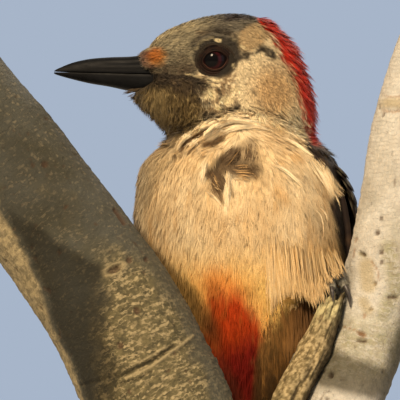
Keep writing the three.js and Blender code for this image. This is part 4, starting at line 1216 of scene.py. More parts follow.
def coat_regions():
    """Where each piece of coat grows and how: its share over the skin, its spacing, and the make of its
    tufts."""
    points = SKIN["points"]
    head = to_head(points)
    x, y, z = head[:, 0], np.abs(head[:, 1]), head[:, 2]
    _, fore, height = body_parts(points)
    over_collar = head_level(head) - collar_height(x)
    on_head = ease(-1.2, 0.4, over_collar) * (1 - bill_gap(x, z))
    eye_gap = np.hypot((x + 0.5) / 1.08, z + 1)
    past_eye = np.maximum(ease(7.2, 8.2, eye_gap), y < 6)
    round_eye = ease(5.2, 5.7, np.hypot((x + 0.4) / 1.2, z + 1)) * ease(8.6, 7.6, eye_gap) * (y > 6)
    red = red_share(head)
    not_red = 1 - ease(0.4, 0.6, red)
    open_skin = 1 - under_wings(points)
    front = ease(-6, 0, fore)
    low_part = ease(196, 190, height)
    face = on_head * not_red * past_eye
    seen = points[:, 0], seen_level(points)
    gaps = [stroke(*seen, line, wide * 0.75, 0.5) for wide, rise, line in FOLDS if rise < -0.9]
    parted = 1 - 0.8 * np.maximum.reduce(gaps) * (fore > 0)
    roped = np.maximum(spot(*seen, -8.5, 232.4, 9.5, 6, 0.3), spot(*seen, 2, 237.6, 7, 4, 0.4))
    roped = np.maximum(roped, spot(*seen, -1.5, 221.4, 7.5, 9.5, 0.4)) * (fore > 0)
    spiked = ease(0.6, 0.9, red) * ease(-19, -22, x) * ease(10, 7, y) * ease(-22.5, -20.5, z)
    throat = on_head * not_red * np.maximum(ease(-13, -15, z), ease(-6, -8, z) * ease(1, 4, x))
    body = 1 - ease(-1, 1.4, over_collar)
    breast = body * front * ease(218, 212, height) * (1 - low_part) * open_skin * parted * (1 - roped)
    collar = body * not_red * ease(214, 220, height) * open_skin * parted * (1 - roped)
    return {
        "coat_orbit": (on_head * round_eye, 0.55, dict(
            length=1.6, width=0.8, rise=0.35, strands=5, fine=0.8, keen=True)),
        "coat_crown": (face * ease(4.5, 6, z), 0.68, dict(
            length=2.7, width=1.1, rise=0.7, strands=6, fine=0.7, keen=True, sheen=1.2)),
        "coat_cheek": (face * ease(6, 4.5, z) * ease(-16, -14, z), 0.58, dict(
            length=2.1, width=0.95, rise=0.6, strands=5, fine=0.75, stand=0.08, keen=True, sheen=1.5,
            lean=0.3, swerve=0.35, splay=0.35)),
        "coat_throat": (throat, 0.78, dict(
            length=4.2, width=1.3, rise=1.2, strands=6, fine=0.45, splay=0.5, stand=0.3, keen=True, sheen=2,
            tip_pale=0.5, lean=0.3, swerve=0.3)),
        "coat_nasal": (spot(x, z, 18.2, 0.9, 3.2, 2.6, 0.3), 0.6, dict(
            length=4.6, width=0.9, rise=1, strands=5, steps=4, fine=0.4, splay=0.5, stand=0.14, keen=True,
            sheen=1.6, swerve=0.3)),
        "coat_nape": (ease(0.35, 0.6, red), 0.85, dict(
            length=5.6, width=1.5, rise=1.1, strands=6, splay=0.4, stand=0.24, swerve=0.3)),
        "coat_spikes": (spiked, 2.3, dict(
            length=6.6, width=2.2, rise=1, steps=4, fine=0.6, stand=0.46, swerve=0.2, bow=0.3)),
        "coat_ropes": (body * roped * parted, 0.72, dict(
            length=5, width=0.9, rise=0.6, strands=5, steps=4, swerve=0.12, keen=True, sheen=0.7, lean=0.14,
            root_dark=0.7)),
        "coat_collar": (collar, 1.1, dict(
            length=5.6, width=1.9, rise=1.1, strands=9, steps=4, splay=0.35, sheen=0.6, lean=0.13,
            root_dark=0.72)),
        "coat_breast": (breast, 1.3, dict(
            length=7, width=2.4, rise=1.4, strands=12, steps=4, fine=0.42, splay=0.45, sheen=0.42,
            lean=0.09, root_dark=0.84, swerve=0.22)),
        "coat_vent": (front * ease(158, 154, height) * open_skin, 1.9, dict(
            length=9, width=3.4, rise=1.5, strands=10, splay=0.4)),
        "coat_belly": (front * low_part * open_skin * ease(154, 158, height), 1.4, dict(
            length=8.4, width=2.6, rise=1.5, strands=12, steps=4, fine=0.42, splay=0.5, sheen=0.5, lean=0.1,
            root_dark=0.82, swerve=0.22, keen=True)),
        "coat_back": ((1 - front) * ease(222, 216, height) * open_skin, 2, dict(
            length=9, width=4.6, rise=1.6, steps=4, fine=0.9)),
    }


# strands drawn one by one over the coat: colour, how many, spread, rise, and the line they keep to in x and
# apparent height. A row may end with the y that its strands come out to and how far they go there.
DRAWN = [
    ("breast_pale", 60, 0.42, 1.5, (-16.8, 228.6, -16.1, 230.5, -14.7, 232.3, -12.4, 233.7, -9.9, 235.4,
        -7.3, 236.6, -4.8, 237.4, -2.3, 238.2, 0.7, 239.2)),
    ("breast_pale", 40, 0.35, 1.2, (-9.9, 235, -7.3, 235.9, -4.8, 236.6, -2, 237.9, 1, 238.9)),
    ("breast_pale", 90, 0.5, 1.9, (-16.6, 226.7, -15.1, 228.2, -13.1, 229.9, -11, 231.5, -8.9, 232.9, -7.3,
        233.8, -6, 235.1, -4.1, 236.4, -2.1, 237.2, 0.7, 237.7, 4.1, 237.2, 6.4, 236.9)),
    ("breast_pale", 40, 0.35, 1.4, (-11.3, 228.3, -10.3, 229.8, -9.4, 231, -8, 232, -6.4, 232.6, -4.6, 233.9,
        -2.6, 234.9)),
    ("breast_pale", 24, 0.22, 1.3, (0.6, 238.8, 3, 238.9, 4.8, 238.7)),
    ("breast_pale", 50, 0.8, 1, (-4.8, 233.4, -1, 235.2, 3.7, 236.3, 8.4, 235.9, 12.6, 234.6)),
    ("fleck", 14, 0.25, 0.8, (-17.2, 231.8, -16.2, 232.6, -14.9, 233)),
    ("ear", 4, 0.3, 0.35, (-0.6, 224, 2.4, 224.2, 6.6, 223.6)),
    ("ear", 4, 0.3, 0.35, (-0.4, 223.3, 3, 223.4, 6.5, 223)),
    ("ear", 4, 0.3, 0.35, (-0.9, 222.7, 3, 222.5, 6.5, 222.6)),
    ("ear", 4, 0.3, 0.35, (-0.9, 221.9, 3, 222, 6.4, 221.6)),
    ("ear", 4, 0.3, 0.35, (-0.8, 221.2, 2.6, 221.2, 5.6, 220.6)),
    ("ear", 4, 0.3, 0.35, (-0.6, 220.3, 2.6, 220.1, 5, 219.4)),
    ("fringe", 5, 0.3, 0.5, (-7.4, 219.4, -5.4, 217.9, -3.4, 216.2)),
    ("fringe", 5, 0.3, 0.5, (-6.6, 220.8, -5, 219.4, -4, 217.4)),
    ("breast_pale", 8, 0.2, 0.7, (-8.4, 217, -6.6, 215.4, -4.6, 213.4, -3.4, 211.6)),
    ("breast_pale", 34, 0.5, 0.7, (-1.6, 222.6, -1.9, 218, -2.1, 214.6, -2.1, 210.6)),
    ("breast_pale", 30, 0.5, 0.7, (-8.7, 226, -9.2, 222, -9.9, 218.4)),
    ("down", 14, 0.5, 0.5, (-9.2, 229.4, -6.4, 230.6, -3, 232.4)),
    ("down", 40, 1.1, 0.6, (-7.4, 223.8, -5.8, 221.2, -4.4, 218.6, -3.4, 216)),
    ("down", 40, 1, 0.6, (2, 229.6, -0.6, 226.8, -3.4, 224.2)),
    ("down", 34, 1.1, 0.5, (4.8, 231, 4.6, 227, 3.8, 224.6)),
    ("breast_pale", 30, 0.3, 1.1, (15, 234.9, 17.6, 233.4, 21.4, 231.2, 23.4, 229)),
    ("breast_pale", 24, 0.3, 1.1, (13.2, 232.6, 17.8, 230.9, 21.8, 228.2, 24, 226.4)),
    ("fleck", 18, 0.25, 1, (14.6, 235.6, 17.4, 235, 20.6, 233.9, 22.6, 232.4)),
    ("breast_pale", 34, 0.3, 0.9, (9.6, 225, 14.4, 223.1, 17.8, 220.3, 21.6, 216.6)),
    ("breast_pale", 70, 0.9, 1.2, (24.2, 226.6, 27.2, 222.4, 30.4, 217.8, 33.2, 214.9)),
    ("breast_pale", 50, 0.8, 1.2, (22.4, 226.6, 25.8, 221.6, 28.6, 217.4, 30.6, 214.2)),
    ("breast_pale", 8, 0.12, 1.6, (29.2, 217.4, 31.2, 213.8, 32.2, 210.4)),
    ("breast_pale", 9, 0.14, 1, (25.2, 212.4, 27.4, 209.6, 28.4, 206.4)),
    ("breast_pale", 8, 0.14, 1, (23.6, 211.6, 25.8, 209.4, 26.8, 205.4, 26.6, 201.8)),
    ("down", 12, 0.5, 1, (25.6, 229.4, 27.4, 226.4, 27.6, 223.2)),
    ("down", 14, 0.5, 1, (24.6, 228, 26.6, 225.6, 29.6, 222.6)),
    ("malar", 16, 0.35, 0.3, (-27.4, 247.2, -30.6, 246.6, -33.6, 246)),
    ("malar", 16, 0.35, 0.3, (-27.2, 245.8, -29.8, 245, -31.8, 244.4)),
    ("throat", 20, 0.45, 0.3, (-26.4, 245, -28.6, 243.8, -30.4, 243)),
    ("throat", 20, 0.5, 0.3, (-25, 242.8, -26.6, 241.4, -27.9, 240.4)),
    ("throat", 20, 0.5, 0.3, (-22.6, 240.2, -24, 238.8, -25.2, 237.8)),
    ("throat", 20, 0.5, 0.3, (-20.4, 237, -21.4, 235.8, -22.3, 234.8)),
    ("throat", 16, 0.4, 0.3, (-18.4, 235.4, -19.2, 234, -20, 233)),
]
# the share of a colour's strands that are golden
GILT = {"breast_pale": 0.3, "fleck": 0.15, "down": 0.06, "fringe": 0.2}


def drawn_strands(name, drawn, seed, half=0.085, steps=9):
    """Strands that keep near given lines over the front of the skin. Each runs over a part of its line, set
    aside by a steady offset and a slow wave, and rises in front by the line's rise times the root of
    1 - (offset / 2.6 spread)^2, so that a bundle is round. Each is a ribbon that narrows to both ends."""
    rng = np.random.default_rng(seed)
    bundles = []
    level_share = np.linspace(0, 1, steps + 1)
    for colour, count, spread, rise, line, *end in drawn:
        line = np.reshape(line, (-1, 2))
        start = rng.uniform(0, 0.5, (count, 1))
        stop = start + (1 - start) * rng.uniform(0.55, 1, (count, 1))
        share = start + (stop - start) * level_share
        at = through(line, share)
        way = unit(through(line, share + 0.01) - through(line, share - 0.01))
        aside = np.stack([-way[..., 1], way[..., 0]], -1)
        offset = np.clip(rng.normal(0, spread, (count, 1)), -2.2 * spread, 2.2 * spread)
        wave = np.sin(2 * np.pi * (share * rng.uniform(0.5, 1.2, (count, 1)) + rng.random((count, 1))))
        at = at + aside * (offset + 0.3 * spread * wave)[..., None]
        lift = rise * np.sqrt(np.maximum(1 - (offset / (2.6 * spread)) ** 2, 0))
        lift = lift * ease(-0.15, 0.25, level_share)
        y = front_of(at) - lift - rng.uniform(0, 0.25, (count, 1))
        for end_y, reach in end:
            out = ease(0, 0.75, level_share) * reach
            y = np.minimum(y, y + (end_y + rng.uniform(-0.7, 0.7, (count, 1)) - y) * out)
        place = np.stack([at[..., 0], y, at[..., 1] - SLANT * (20 - y)], -1)
        side = np.stack([aside[..., 0], 0 * y, aside[..., 1]], -1)
        up = 0.35 * SKIN["normals"][nearest(place)]
        up = unit(up + [0, -0.6, 0] + side * (0.55 * offset / spread)[..., None])
        tone = rng.normal(1, 0.09, (count, 1, 1)) * (0.8 + 0.2 * ease(0, 0.3, level_share))[:, None]
        plain = tint(colour) if isinstance(colour, str) else np.array(colour)
        gold = rng.random((count, 1, 1)) < GILT.get(colour, 0)
        base = np.where(gold, mixed(plain, "breast_gold", 0.45), plain)
        bundles.append((place, up, side, np.clip(base * tone, 0, 1)))
    place, up, side, colour = (np.concatenate(v) for v in zip(*bundles))
    count = len(place)
    width = half * rng.uniform(0.7, 1.3, (count, 1)) * ease(-0.3, 0.25, level_share)
    width = width * (1 - level_share**3 * 0.9)
    edge = side * width[..., None]
    points = np.stack([place - edge, place + edge], 2).reshape(-1, 3)
    first = (np.arange(count) * 2 * (steps + 1))[:, None] + 2 * np.arange(steps)
    quads = (first[..., None] + np.array([1, 0, 2, 3])).reshape(-1, 4)
    patch = skin_unwrap(place[:, 0])[:, None, None]
    local = np.broadcast_arrays(np.array([-0.0008, 0.0008]), BAKE_HALF * (2 * level_share[:, None] - 1))
    uvs = np.clip(patch + np.stack(local, -1), *BAKE_ENDS).reshape(-1, 2)
    return put_mesh(name, points, [quads], plumage_material(),
                    colours={"Marking": np.repeat(colour.reshape(-1, 3), 2, axis=0)}, uvs={"OFBake": uvs},
                    normals=np.repeat(up.reshape(-1, 3), 2, axis=0))


# the lower end of the flank's fringe: x and apparent height; and of the dark strands of painted shade under
# it
FRINGE_END = (
    11, 179, 13.5, 182.4, 15, 183, 17, 181.6, 18.5, 182.6, 20.5, 184.4, 22, 182.4, 23.5, 181.6, 26, 184,
    27.4, 187.6, 28.2, 190.6, 31, 191.4,
)
UNDER_END = (
    9, 150, 12.5, 157, 18, 165, 22, 171, 25.5, 178,
)


def fringe_rows():
    """The feathers of the flank that hang over the foot, and under them dark strands coloured as painted
    shade, as drawn rows.
    """
    rows = []
    for x in np.arange(9, 25.6, 0.4):
        low, top = edge_at(UNDER_END, x), edge_at(FRINGE_END, x) + 3.5
        # painted shade: the strands under the fringe take dark browns
        brown = tuple(mixed("drape", "belly_under_shade", ease(13, 24, x)))
        line = (x - 0.8, top, x - 0.3, 0.5 * (top + low), x, low)
        rows.append((brown, 20, 0.5, 0.7, line, (-2.4, ease(15, 23, x))))
    for step, x in enumerate(np.arange(10.5, 31.4, 0.36)):
        end = edge_at(FRINGE_END, x) + 1.0 * math.sin(5.3 * x) + 0.6 * math.sin(12.7 * x)
        start = max(end + 4, 200 - 0.25 * (x - 13) + 4.5 * math.sin(2.3 * step))
        lean = 1.6 if x > 14 else 0.8
        rise = 1.3 + 0.9 * ease(12, 15, x) - 1.6 * ease(18.5, 22, x)
        line = (x - lean, start, x - 0.3 * lean, 0.5 * (start + end), x + 0.5 * lean, end)
        rows.append(("fringe", 13, 0.5, rise, line, (-9.2, ease(13, 25, x))))
    return rows


# ---- Bill and eyes -------------------------------------------------------------------------------
def bill_half(upper):
    """One half of the bill: rings whose side is the half width times a power of the cosine, and whose
    height runs from the gape line to the culmen, or to the lower edge, by a power of the sine."""
    rows, cols = 90, 56
    slices = through(BILL_SLICES, np.linspace(0, 1, rows) ** 0.9)[:, None]
    x, top, bottom, wide = (slices[..., i] for i in range(4))
    turn = circle(cols)
    cosine, sine = np.cos(turn), np.sin(turn)
    gape = GAPE_TIP - GAPE_SLOPE * (BILL_TIP - x) + (0.16 if upper else -0.16)
    if upper:
        reach, power = np.maximum(top - gape, 0.05), 0.92
    else:
        reach, power = np.minimum(bottom - gape, -0.05), 0.8
    level = np.where(sine > 0, np.abs(sine) ** power, -0.04 * np.abs(sine))
    side = wide * (1.0 if upper else 0.93) * np.sign(cosine) * np.abs(cosine) ** (0.72 if upper else 0.62)
    z = gape + reach * level
    if upper:
        # a groove from the nostril forward, and a keel along the culmen
        height = np.clip(level, 0, 1)
        groove = np.exp(-(((height - 0.62) / 0.1) ** 2)) * ease(40, 24, x) * (sine > 0)
        ridge = np.exp(-(((height - 0.4) / 0.1) ** 2)) * ease(44, 28, x) * (sine > 0)
        side = side * (1 - 0.09 * groove + 0.05 * ridge)
        z = z + 0.16 * np.exp(-((cosine / 0.12) ** 2)) * (sine > 0) * ease(47, 40, x)
    return from_head(np.stack([x + 0 * side, side, z], -1))


def eye_ball(side):
    """A ball with a low dome in front, the iris set by the angle from the line of sight."""
    rows, cols = 72, 72
    fall = np.linspace(0, np.pi, rows)[:, None]
    turn = circle(cols)
    radius = EYE_RADIUS + 0.22 * np.exp(-((fall / 0.5) ** 2))
    gaze = unit(np.array([0.22, side, 0]))
    first = unit(np.cross(gaze, [0, 0, 1]))
    second = np.cross(first, gaze)
    rings = np.cos(fall)[..., None] * gaze + np.sin(fall)[..., None] * (
        np.cos(turn)[:, None] * first + np.sin(turn)[:, None] * second)
    centre = EYE_AT * [1, side, 1]
    grid = from_head(centre + radius[..., None] * rings)[1:-1]
    mark = np.broadcast_arrays(fall / np.pi, turn / (2 * np.pi), np.zeros((rows, cols)))
    mark = np.stack(mark, -1)[1:-1]
    points, faces = closed_grid(grid)
    marks = np.vstack([mark.reshape(-1, 3), mark[0].mean(0), mark[-1].mean(0)])
    return points, faces, marks


def lid_ring(side):
    """The ring of bare skin round an eye: from under the rolled rim of the lids, which follow the ball,
    out to the skin, in low rings of wrinkles."""
    rows, cols = 34, 140
    turn = circle(cols)
    share = np.linspace(0, 1, rows)[:, None]
    cosine, sine = np.cos(turn), np.sin(turn)
    # inner opening: pinched at its corners, flatter above
    pinch = 1 + 0.1 * np.exp(-((np.abs(cosine) - 1) / 0.06) ** 2)
    inner_wide = 3.1 * pinch
    inner_high = np.where(sine > 0, 2.3, 2.6)
    outer_wide, outer_high = 6.1, 5.3
    spread = ease(0, 1, share) * 0.25 + 0.75 * share
    wide = inner_wide + (outer_wide - inner_wide) * spread
    high = inner_high + (outer_high - inner_high) * spread
    slant = math.radians(8)
    a, b = wide * cosine, high * sine
    forward = a * math.cos(slant) + b * math.sin(slant) - 0.1
    up = -a * math.sin(slant) + b * math.cos(slant)
    ball = np.sqrt(np.maximum((EYE_RADIUS + 0.05) ** 2 - forward**2 - up**2, 1)) + EYE_AT[1]
    brow = 0.35 * ease(0.2, 0.9, sine) * np.exp(-(((share - 0.35) / 0.25) ** 2))
    roll = 0.5 * ease(0, 0.16, share) - 0.35 * (share < 0.01)
    outer = np.stack([EYE_AT[0] + forward, side * 11.5 + 0 * forward, EYE_AT[2] + up], -1)
    skin_level = np.abs(to_head(settled(from_head(outer))[0])[..., 1])
    level = ball + roll
    rim_level = skin_level[-1] + 0.1
    away = ease(0.12, 0.9, share)
    level = level + (rim_level + 0.5 * (1 - share) - level) * away
    wrinkle = 0.1 * np.sin(share * 2 * np.pi * 4.3 + 0.5 * np.sin(3 * turn)) * ease(0.1, 0.25, share)
    wrinkle = wrinkle + 0.05 * np.sin(turn * 46 + 5 * share) * ease(0.15, 0.4, share)
    level = level + (wrinkle + brow) * ease(1, 0.8, share)
    grid = np.stack([EYE_AT[0] + forward, side * level, EYE_AT[2] + up], -1)
    noise_mark = noise(grid, 0.9, 91, 2)
    rim = ease(0.2, 0.08, share) * ease(0.2, -0.7, sine)
    colour = mixed("orbit", "orbit_dark", ease(-0.2, 0.7, noise_mark + 0.5 * np.sin(share * 27)))
    colour = mixed(colour, "orbit_rim", rim * 0.5)
    colour = mixed(colour, "eye_patch", ease(0.45, 1, share + 0.25 * noise_mark) * 0.85)
    colour = mixed(colour, "orbit_dark", ease(0.08, 0, share) * 0.8 + 0 * turn)
    return from_head(grid), colour


def iris_material():
    """The eye: a black pupil, a deep red-brown iris with fine rays, and a dark rim, under a wet coat."""
    made, tree, shader = material("Wet_eye", roughness=0.6, specular=0.02, coat=0.28, coat_roughness=0.02)
    shader.inputs["Coat IOR"].default_value = 1.38
    fall = separated(tree, "Gaze")[0]
    rays = node(tree, "ShaderNodeTexNoise", scale=1600, vector=object_place(tree))
    fall = math_node(tree, "ADD", fall, times(tree, rays.outputs["Fac"], 0.006))
    colour = ramp(tree, fall, [
        (0, shade(6, 5, 6)), (0.112, shade(8, 6, 7)), (0.122, paint("iris_dark")), (0.165, paint("iris")),
        (0.205, paint("iris_dark")), (0.235, shade(16, 9, 8)),
    ])
    put(tree, shader.inputs["Base Color"], colour)
    return made


def skin_like_material(name, roughness, specular, scale, strength):
    """Bare skin or soft ground whose colour is painted, with fine creases."""
    made, tree, shader = material(name, roughness=roughness, specular=specular)
    value, height = grain(tree, object_place(tree), scale=scale, detail=5, low=0.3, high=0.7)
    put(tree, shader.inputs["Base Color"], toned(tree, marking(tree), value, 0.78, 1.12))
    bump(tree, shader, height, strength, 0.0002)
    return made


# ---- Vanes ---------------------------------------------------------------------------------------
TAIL_ROOT = 131.0  # height of the root of the tail's feathers


def vane_sheet(name, place, along, width, shape, colour, bars, rows=10, cols=7, camber=0.06):
    """A piece of stiff feathers. place(share along, mm across, mm up) gives a point for every feather; the
    outline rises from the quill, holds its width and closes at a tip as round as its shape says."""
    count = len(along)
    n = np.arange(count)[:, None, None]
    t = np.linspace(0, 1, rows)[None, :, None]
    s = np.linspace(-1, 1, cols)[None, None, :]
    along, width, shape = (np.reshape(v, (-1, 1, 1)) for v in (along, width, shape))
    outline = ease(-0.18, 0.3, t) * np.sqrt(np.clip(1 - np.clip((t - 1 + shape) / shape, 0, 1) ** 2.2, 0, 1))
    outline = np.maximum(outline, 0.02)
    across = s * outline * width * 0.5
    height = camber * width * (1 - s**2) * ease(0, 0.2, t) * outline
    points = place(np.broadcast_to(t, (count, rows, cols)), across, height)
    first = n * rows * cols + np.arange(rows - 1)[:, None] * cols + np.arange(cols - 1)
    quads = np.stack([first, first + 1, first + cols + 1, first + cols], -1).reshape(-1, 4)
    vane = np.stack([0.5 + across / 100 + 0 * along, along * t / 100 + 0 * across], -1).reshape(-1, 2)
    cells = int(math.ceil(math.sqrt(count)))
    u = (n % cells + 0.5 + 0.42 * s + 0 * t) / cells
    v = (n // cells + 0.08 + 0.84 * t + 0 * s) / cells
    bake = np.clip(np.stack([u, v], -1), 0.001, 0.999).reshape(-1, 2)
    colour = np.broadcast_to(colour(points, t, s), points.shape)
    strength = np.broadcast_to(bars(t, s), points.shape[:3])[..., None]
    bars = np.concatenate([np.broadcast_to(tint("bar"), points.shape), strength], -1)
    return put_mesh(name, points.reshape(-1, 3), [quads], vane_material(),
                    colours={"Marking": colour.reshape(-1, 3), "Bars": bars.reshape(-1, 4)},
                    uvs={"Vane": vane, "OFBake": bake})


def wing_place(side, down, across, height):
    """A place on a folded wing: down its length and across from the lower edge to the upper edge as shares,
    and mm above its surface."""
    def surface(u, v):
        s = through(WING_SLICES, u)
        z, low_x, low_y, high_x, high_y, swell = (s[..., i] for i in range(6))
        out_x, out_y = high_y - low_y, low_x - high_x
        length = np.maximum(np.hypot(out_x, out_y), 1e-6)
        arch = np.sin(np.pi * (WING_EDGE + (1 - 2 * WING_EDGE) * np.clip(v, 0, 1)))
        x = low_x + (high_x - low_x) * v + out_x / length * swell * arch
        y = low_y + (high_y - low_y) * v + out_y / length * swell * arch
        tuck = 0.0 if side > 0 else WING_TUCK * ease(0.6, 0.1, v)
        return turned(side * (x - tuck), y + 0.4 * tuck, z)
    step = 0.004
    down = np.clip(down, 0.001, 0.999)
    here = surface(down, across)
    du = surface(np.clip(down + step, 0, 1), across) - surface(np.clip(down - step, 0, 1), across)
    dv = surface(down, across + step) - surface(down, across - step)
    normal = unit(np.cross(du, dv) * side)
    return here + normal * np.asarray(height)[..., None]


def wing_span(down):
    """The distance across a folded wing at a share down it, in mm."""
    s = through(WING_SLICES, np.clip(down, 0, 1))
    return np.hypot(s[..., 3] - s[..., 1], s[..., 4] - s[..., 2]) + 1e-6


# Rows of a folded wing from the flight feathers up: root down, root across from, to; count; length; width;
# drift across; base height; rise; roundness of the tip; how strongly barred; rows of feathers; step down
WING_ROWS = [
    ("primaries", 0.42, 0.1, 0.5, 9, 72, 9, -0.02, 0.1, 0.9, 0.22, 0.5, 1, 0),
    ("secondaries", 0.36, 0.3, 0.86, 10, 52, 11, 0.02, 0.6, 1.2, 0.3, 0.9, 1, 0),
    ("tertials", 0.3, 0.7, 0.9, 4, 46, 12, 0, 1.4, 1.3, 0.36, 1, 1, 0),
    ("greater", 0.26, 0.1, 0.86, 12, 27, 9, 0.03, 1.4, 1.3, 0.5, 0.9, 1, 0),
    ("median", 0.2, 0.1, 0.88, 11, 17, 8.6, 0.03, 1.9, 1.2, 0.6, 0.7, 1, 0),
    ("lesser", 0.02, 0.06, 0.92, 11, 12, 7.4, 0, 1.6, 1.5, 0.7, 0.14, 5, 0.036),
]


def build_wing(name, side):
    """A folded wing: a dark bed, and rows of vanes that overlap like tiles from the tips to the shoulder."""
    rng = np.random.default_rng(3 if side > 0 else 4)
    vanes = []
    for _, down, first, last, number, length, width, drift, base, rise, tip, bars, rows, pitch in WING_ROWS:
        for row in range(rows):
            across = np.linspace(first, last, number) + 0.5 * (row % 2) / number
            across = across + rng.normal(0, 0.004, number)
            fan = (across - first) / (last - first)
            start = down + row * pitch + 0.02 * fan + rng.normal(0, 0.004, number)
            long = length * (1 + 0.16 * (0.5 - fan)) * rng.uniform(0.95, 1.05, number)
            wide = width * rng.uniform(0.95, 1.08, number)
            rest = drift * (1 - 2 * fan), base - 0.12 * row, rise, tip, bars
            vanes.append(np.broadcast_arrays(start, across, long, wide, *rest))
    start, middle, long, wide, drift, base, rise, tip, strength = np.concatenate(vanes, 1)[..., None, None]
    fold_length = WING_SLICES[0][0] - WING_SLICES[-1][0]

    def place(t, across, height):
        down = start + long * t / fold_length
        span = wing_span(down)
        squeeze = 0.35 + 0.65 * np.clip(span / 34, 0, 1)
        v = np.clip(middle + drift * t * 3 + across * squeeze / span, 0, 1)
        return wing_place(side, down, v, base + rise * t + 0.35 * across / wide + height - 0.9)

    def colour(points, t, s):
        ground = mixed("back", "wing_brown", ease(-0.2, 0.8, noise(points, 6, 101, 2)) * 0.5)
        edge = ease(0.72, 0.96, np.abs(s)) * 0.35 + 0.4 * ease(0.9, 1, t)
        lesser = long < 16
        ground = np.where(lesser[..., None], 0.5 * tint("wing_shade"), ground)
        return mixed(ground, "bar", edge * np.where(lesser, 0.1, 0.6))

    def bars(t, s):
        return strength * ease(0, 0.2, t) * (0.85 + 0.15 * np.sign(s))

    feathers = vane_sheet(name, place, long, wide, tip, colour, bars, rows=12, cols=7)
    # the bed that carries the vanes: the outer surface and, a thickness inside it, the inner one
    u = np.linspace(0.01, 0.96, 60)[:, None]
    v = np.concatenate([np.linspace(0.12, 0.97, 24), np.linspace(0.97, 0.12, 24)])
    inner = np.repeat([0, 1], 24)
    thick = 0.6 + through(WING_SLICES, u[:, 0])[:, 6:7] * np.sin(np.pi * v) * 0.6
    bed = wing_place(side, u + 0 * v, v + 0 * u, -1.1 - inner * thick)
    points, faces = outward(*closed_grid(bed))
    scaly = ease(0.1, 0.5, noise(points * [1, 1, 0.6], 1.3, 103, 2))
    colours = mixed(0.7 * tint("wing_shade"), "flank_brown", 0.3 * scaly)
    return feathers, put_mesh(name + "_bed", points, faces, plumage_material(), colours={"Marking": colours})


def build_tail():
    """The stiff tail: twelve pointed feathers, the middle pair uppermost and longest, with worn tips."""
    side = np.repeat([1, -1], 6)[:, None, None]
    rank = np.tile([5, 4, 3, 2, 1, 0], 2)[:, None, None]
    tip = np.tile([86, 74, 64, 56.5, 50.5, 47.5], 2)[:, None, None]
    width = np.tile([5, 6.4, 7.4, 8.2, 8.8, 9.4], 2)
    slices = np.transpose(TAIL_SLICES[::-1])

    def place(t, across, height):
        z = TAIL_ROOT + (tip - TAIL_ROOT) * t
        half = np.interp(z, slices[0], slices[2])
        x = side * (0.12 + 0.155 * rank) * half * 0.78 + across * 0.92
        level = 1.5 - 0.42 * rank - 0.03 * np.abs(x) + 0.1 * side + height
        y = np.interp(z, slices[0], slices[1]) + level - 0.9 * ease(0.6, 1, t)
        return np.stack([TAIL_X + x, y, z + 0 * x], -1)

    def colour(points, t, s):
        return mixed("back", "wing_brown", ease(0.86, 1, t) * 0.4)

    def bars(t, s):
        inner = side * s < 0.05
        strength = np.where(rank == 0, 0.9 * inner, np.where(rank >= 4, 0.85 * (1 - inner), 0))
        return strength * ease(0.95, 0.8, t)

    return vane_sheet("tail_feathers", place, TAIL_ROOT - tip, width, np.full(12, 0.34), colour, bars,
                      rows=26, cols=9, camber=0.05)


# ---- Legs ----------------------------------------------------------------------------------------
def leg_parts(leg):
    """A shank and toes: tubes ringed by overlapping plates in front, with pads under the toes; then claws,
    flattened and curved, that narrow to a point."""
    ankle, pad = np.array(leg["ankle"], float), np.array(leg["pad"], float)
    middle = (ankle + pad) / 2 + [0.3, -0.9, 0]
    shank, out, length = tube([ankle - 0.12 * (pad - ankle), middle, pad], TARSUS_RADII, 110, 36, SKEW)
    plate = (length / 2) % 1
    shank = shank + out * (0.22 * (0.5 - plate) * (0.4 + 0.6 * (out[..., 1].T < 0).mean(0)))[:, None, None]
    skins, claws = [closed_grid(shank)], []
    ball, _, _ = tube([pad + [0, 0, -1.6], pad, pad + [0, 0, 1.6]], [1.2, 2.2, 1.2], 20, 30, SKEW)
    skins.append(closed_grid(ball))
    for share, points in leg["toes"]:
        path = [pad] + [np.array(p, float) for p in points]
        toe, out, length = tube(path, TOE_RADII, 90, 30, SKEW, 0, share)
        plate = (length / 1.25) % 1
        bulge = 0.16 * (0.5 - plate)[:, None] + 0.22 * np.sin(length / length[-1] * 3 * np.pi)[:, None] ** 2
        toe = toe + out * bulge[..., None] * 0.9
        skins.append(closed_grid(toe))
        claw, out, _ = tube(path, CLAW_RADII, 44, 26, SKEW, share - 0.03, 1)
        taper = np.linspace(0, 1, 44)[:, None]
        centre = claw.mean(1, keepdims=True)
        radius = through(np.array(CLAW_RADII)[:, None], taper[:, 0])[:, None]
        claws.append(closed_grid(centre + out * radius * [0.8, 1, 1]))
    return joined([outward(*p) for p in skins]), [outward(*c) for c in claws]


# ---- Perch and stand -----------------------------------------------------------------------------
def along_path(points, path, radii):
    """For places near a path: the share along it, the turn about it, its length to there, and the gap to
    its surface."""
    shares = np.linspace(0, 1, 260)
    middle = through(path, shares)
    gaps = np.stack([np.linalg.norm(points - m, axis=-1) for m in middle], 1)
    index = gaps.argmin(1)
    length = np.concatenate([[0], np.cumsum(np.linalg.norm(np.diff(middle, axis=0), axis=1))])
    along = unit(np.gradient(middle, axis=0))
    first = unit(np.cross(along, np.array([0, 1, 0])))
    second = np.cross(along, first)
    away = points - middle[index]
    turn = np.arctan2(np.sum(away * second[index], -1), np.sum(away * first[index], -1))
    radius = through(np.array(radii, float)[:, None], shares)[:, 0]
    return shares[index], turn, length[index], gaps.min(1) - radius[index]


# the inner outline of the left limb: apparent height and x
LIMB_RIM = (
    140, 8, 154, 0.3, 168, -6.2, 178, -10.1, 187.5, -16, 199, -24.4, 209, -31, 218, -37.6, 226, -44, 237.7,
    -54.7, 248.8, -62.8, 262, -72,
)
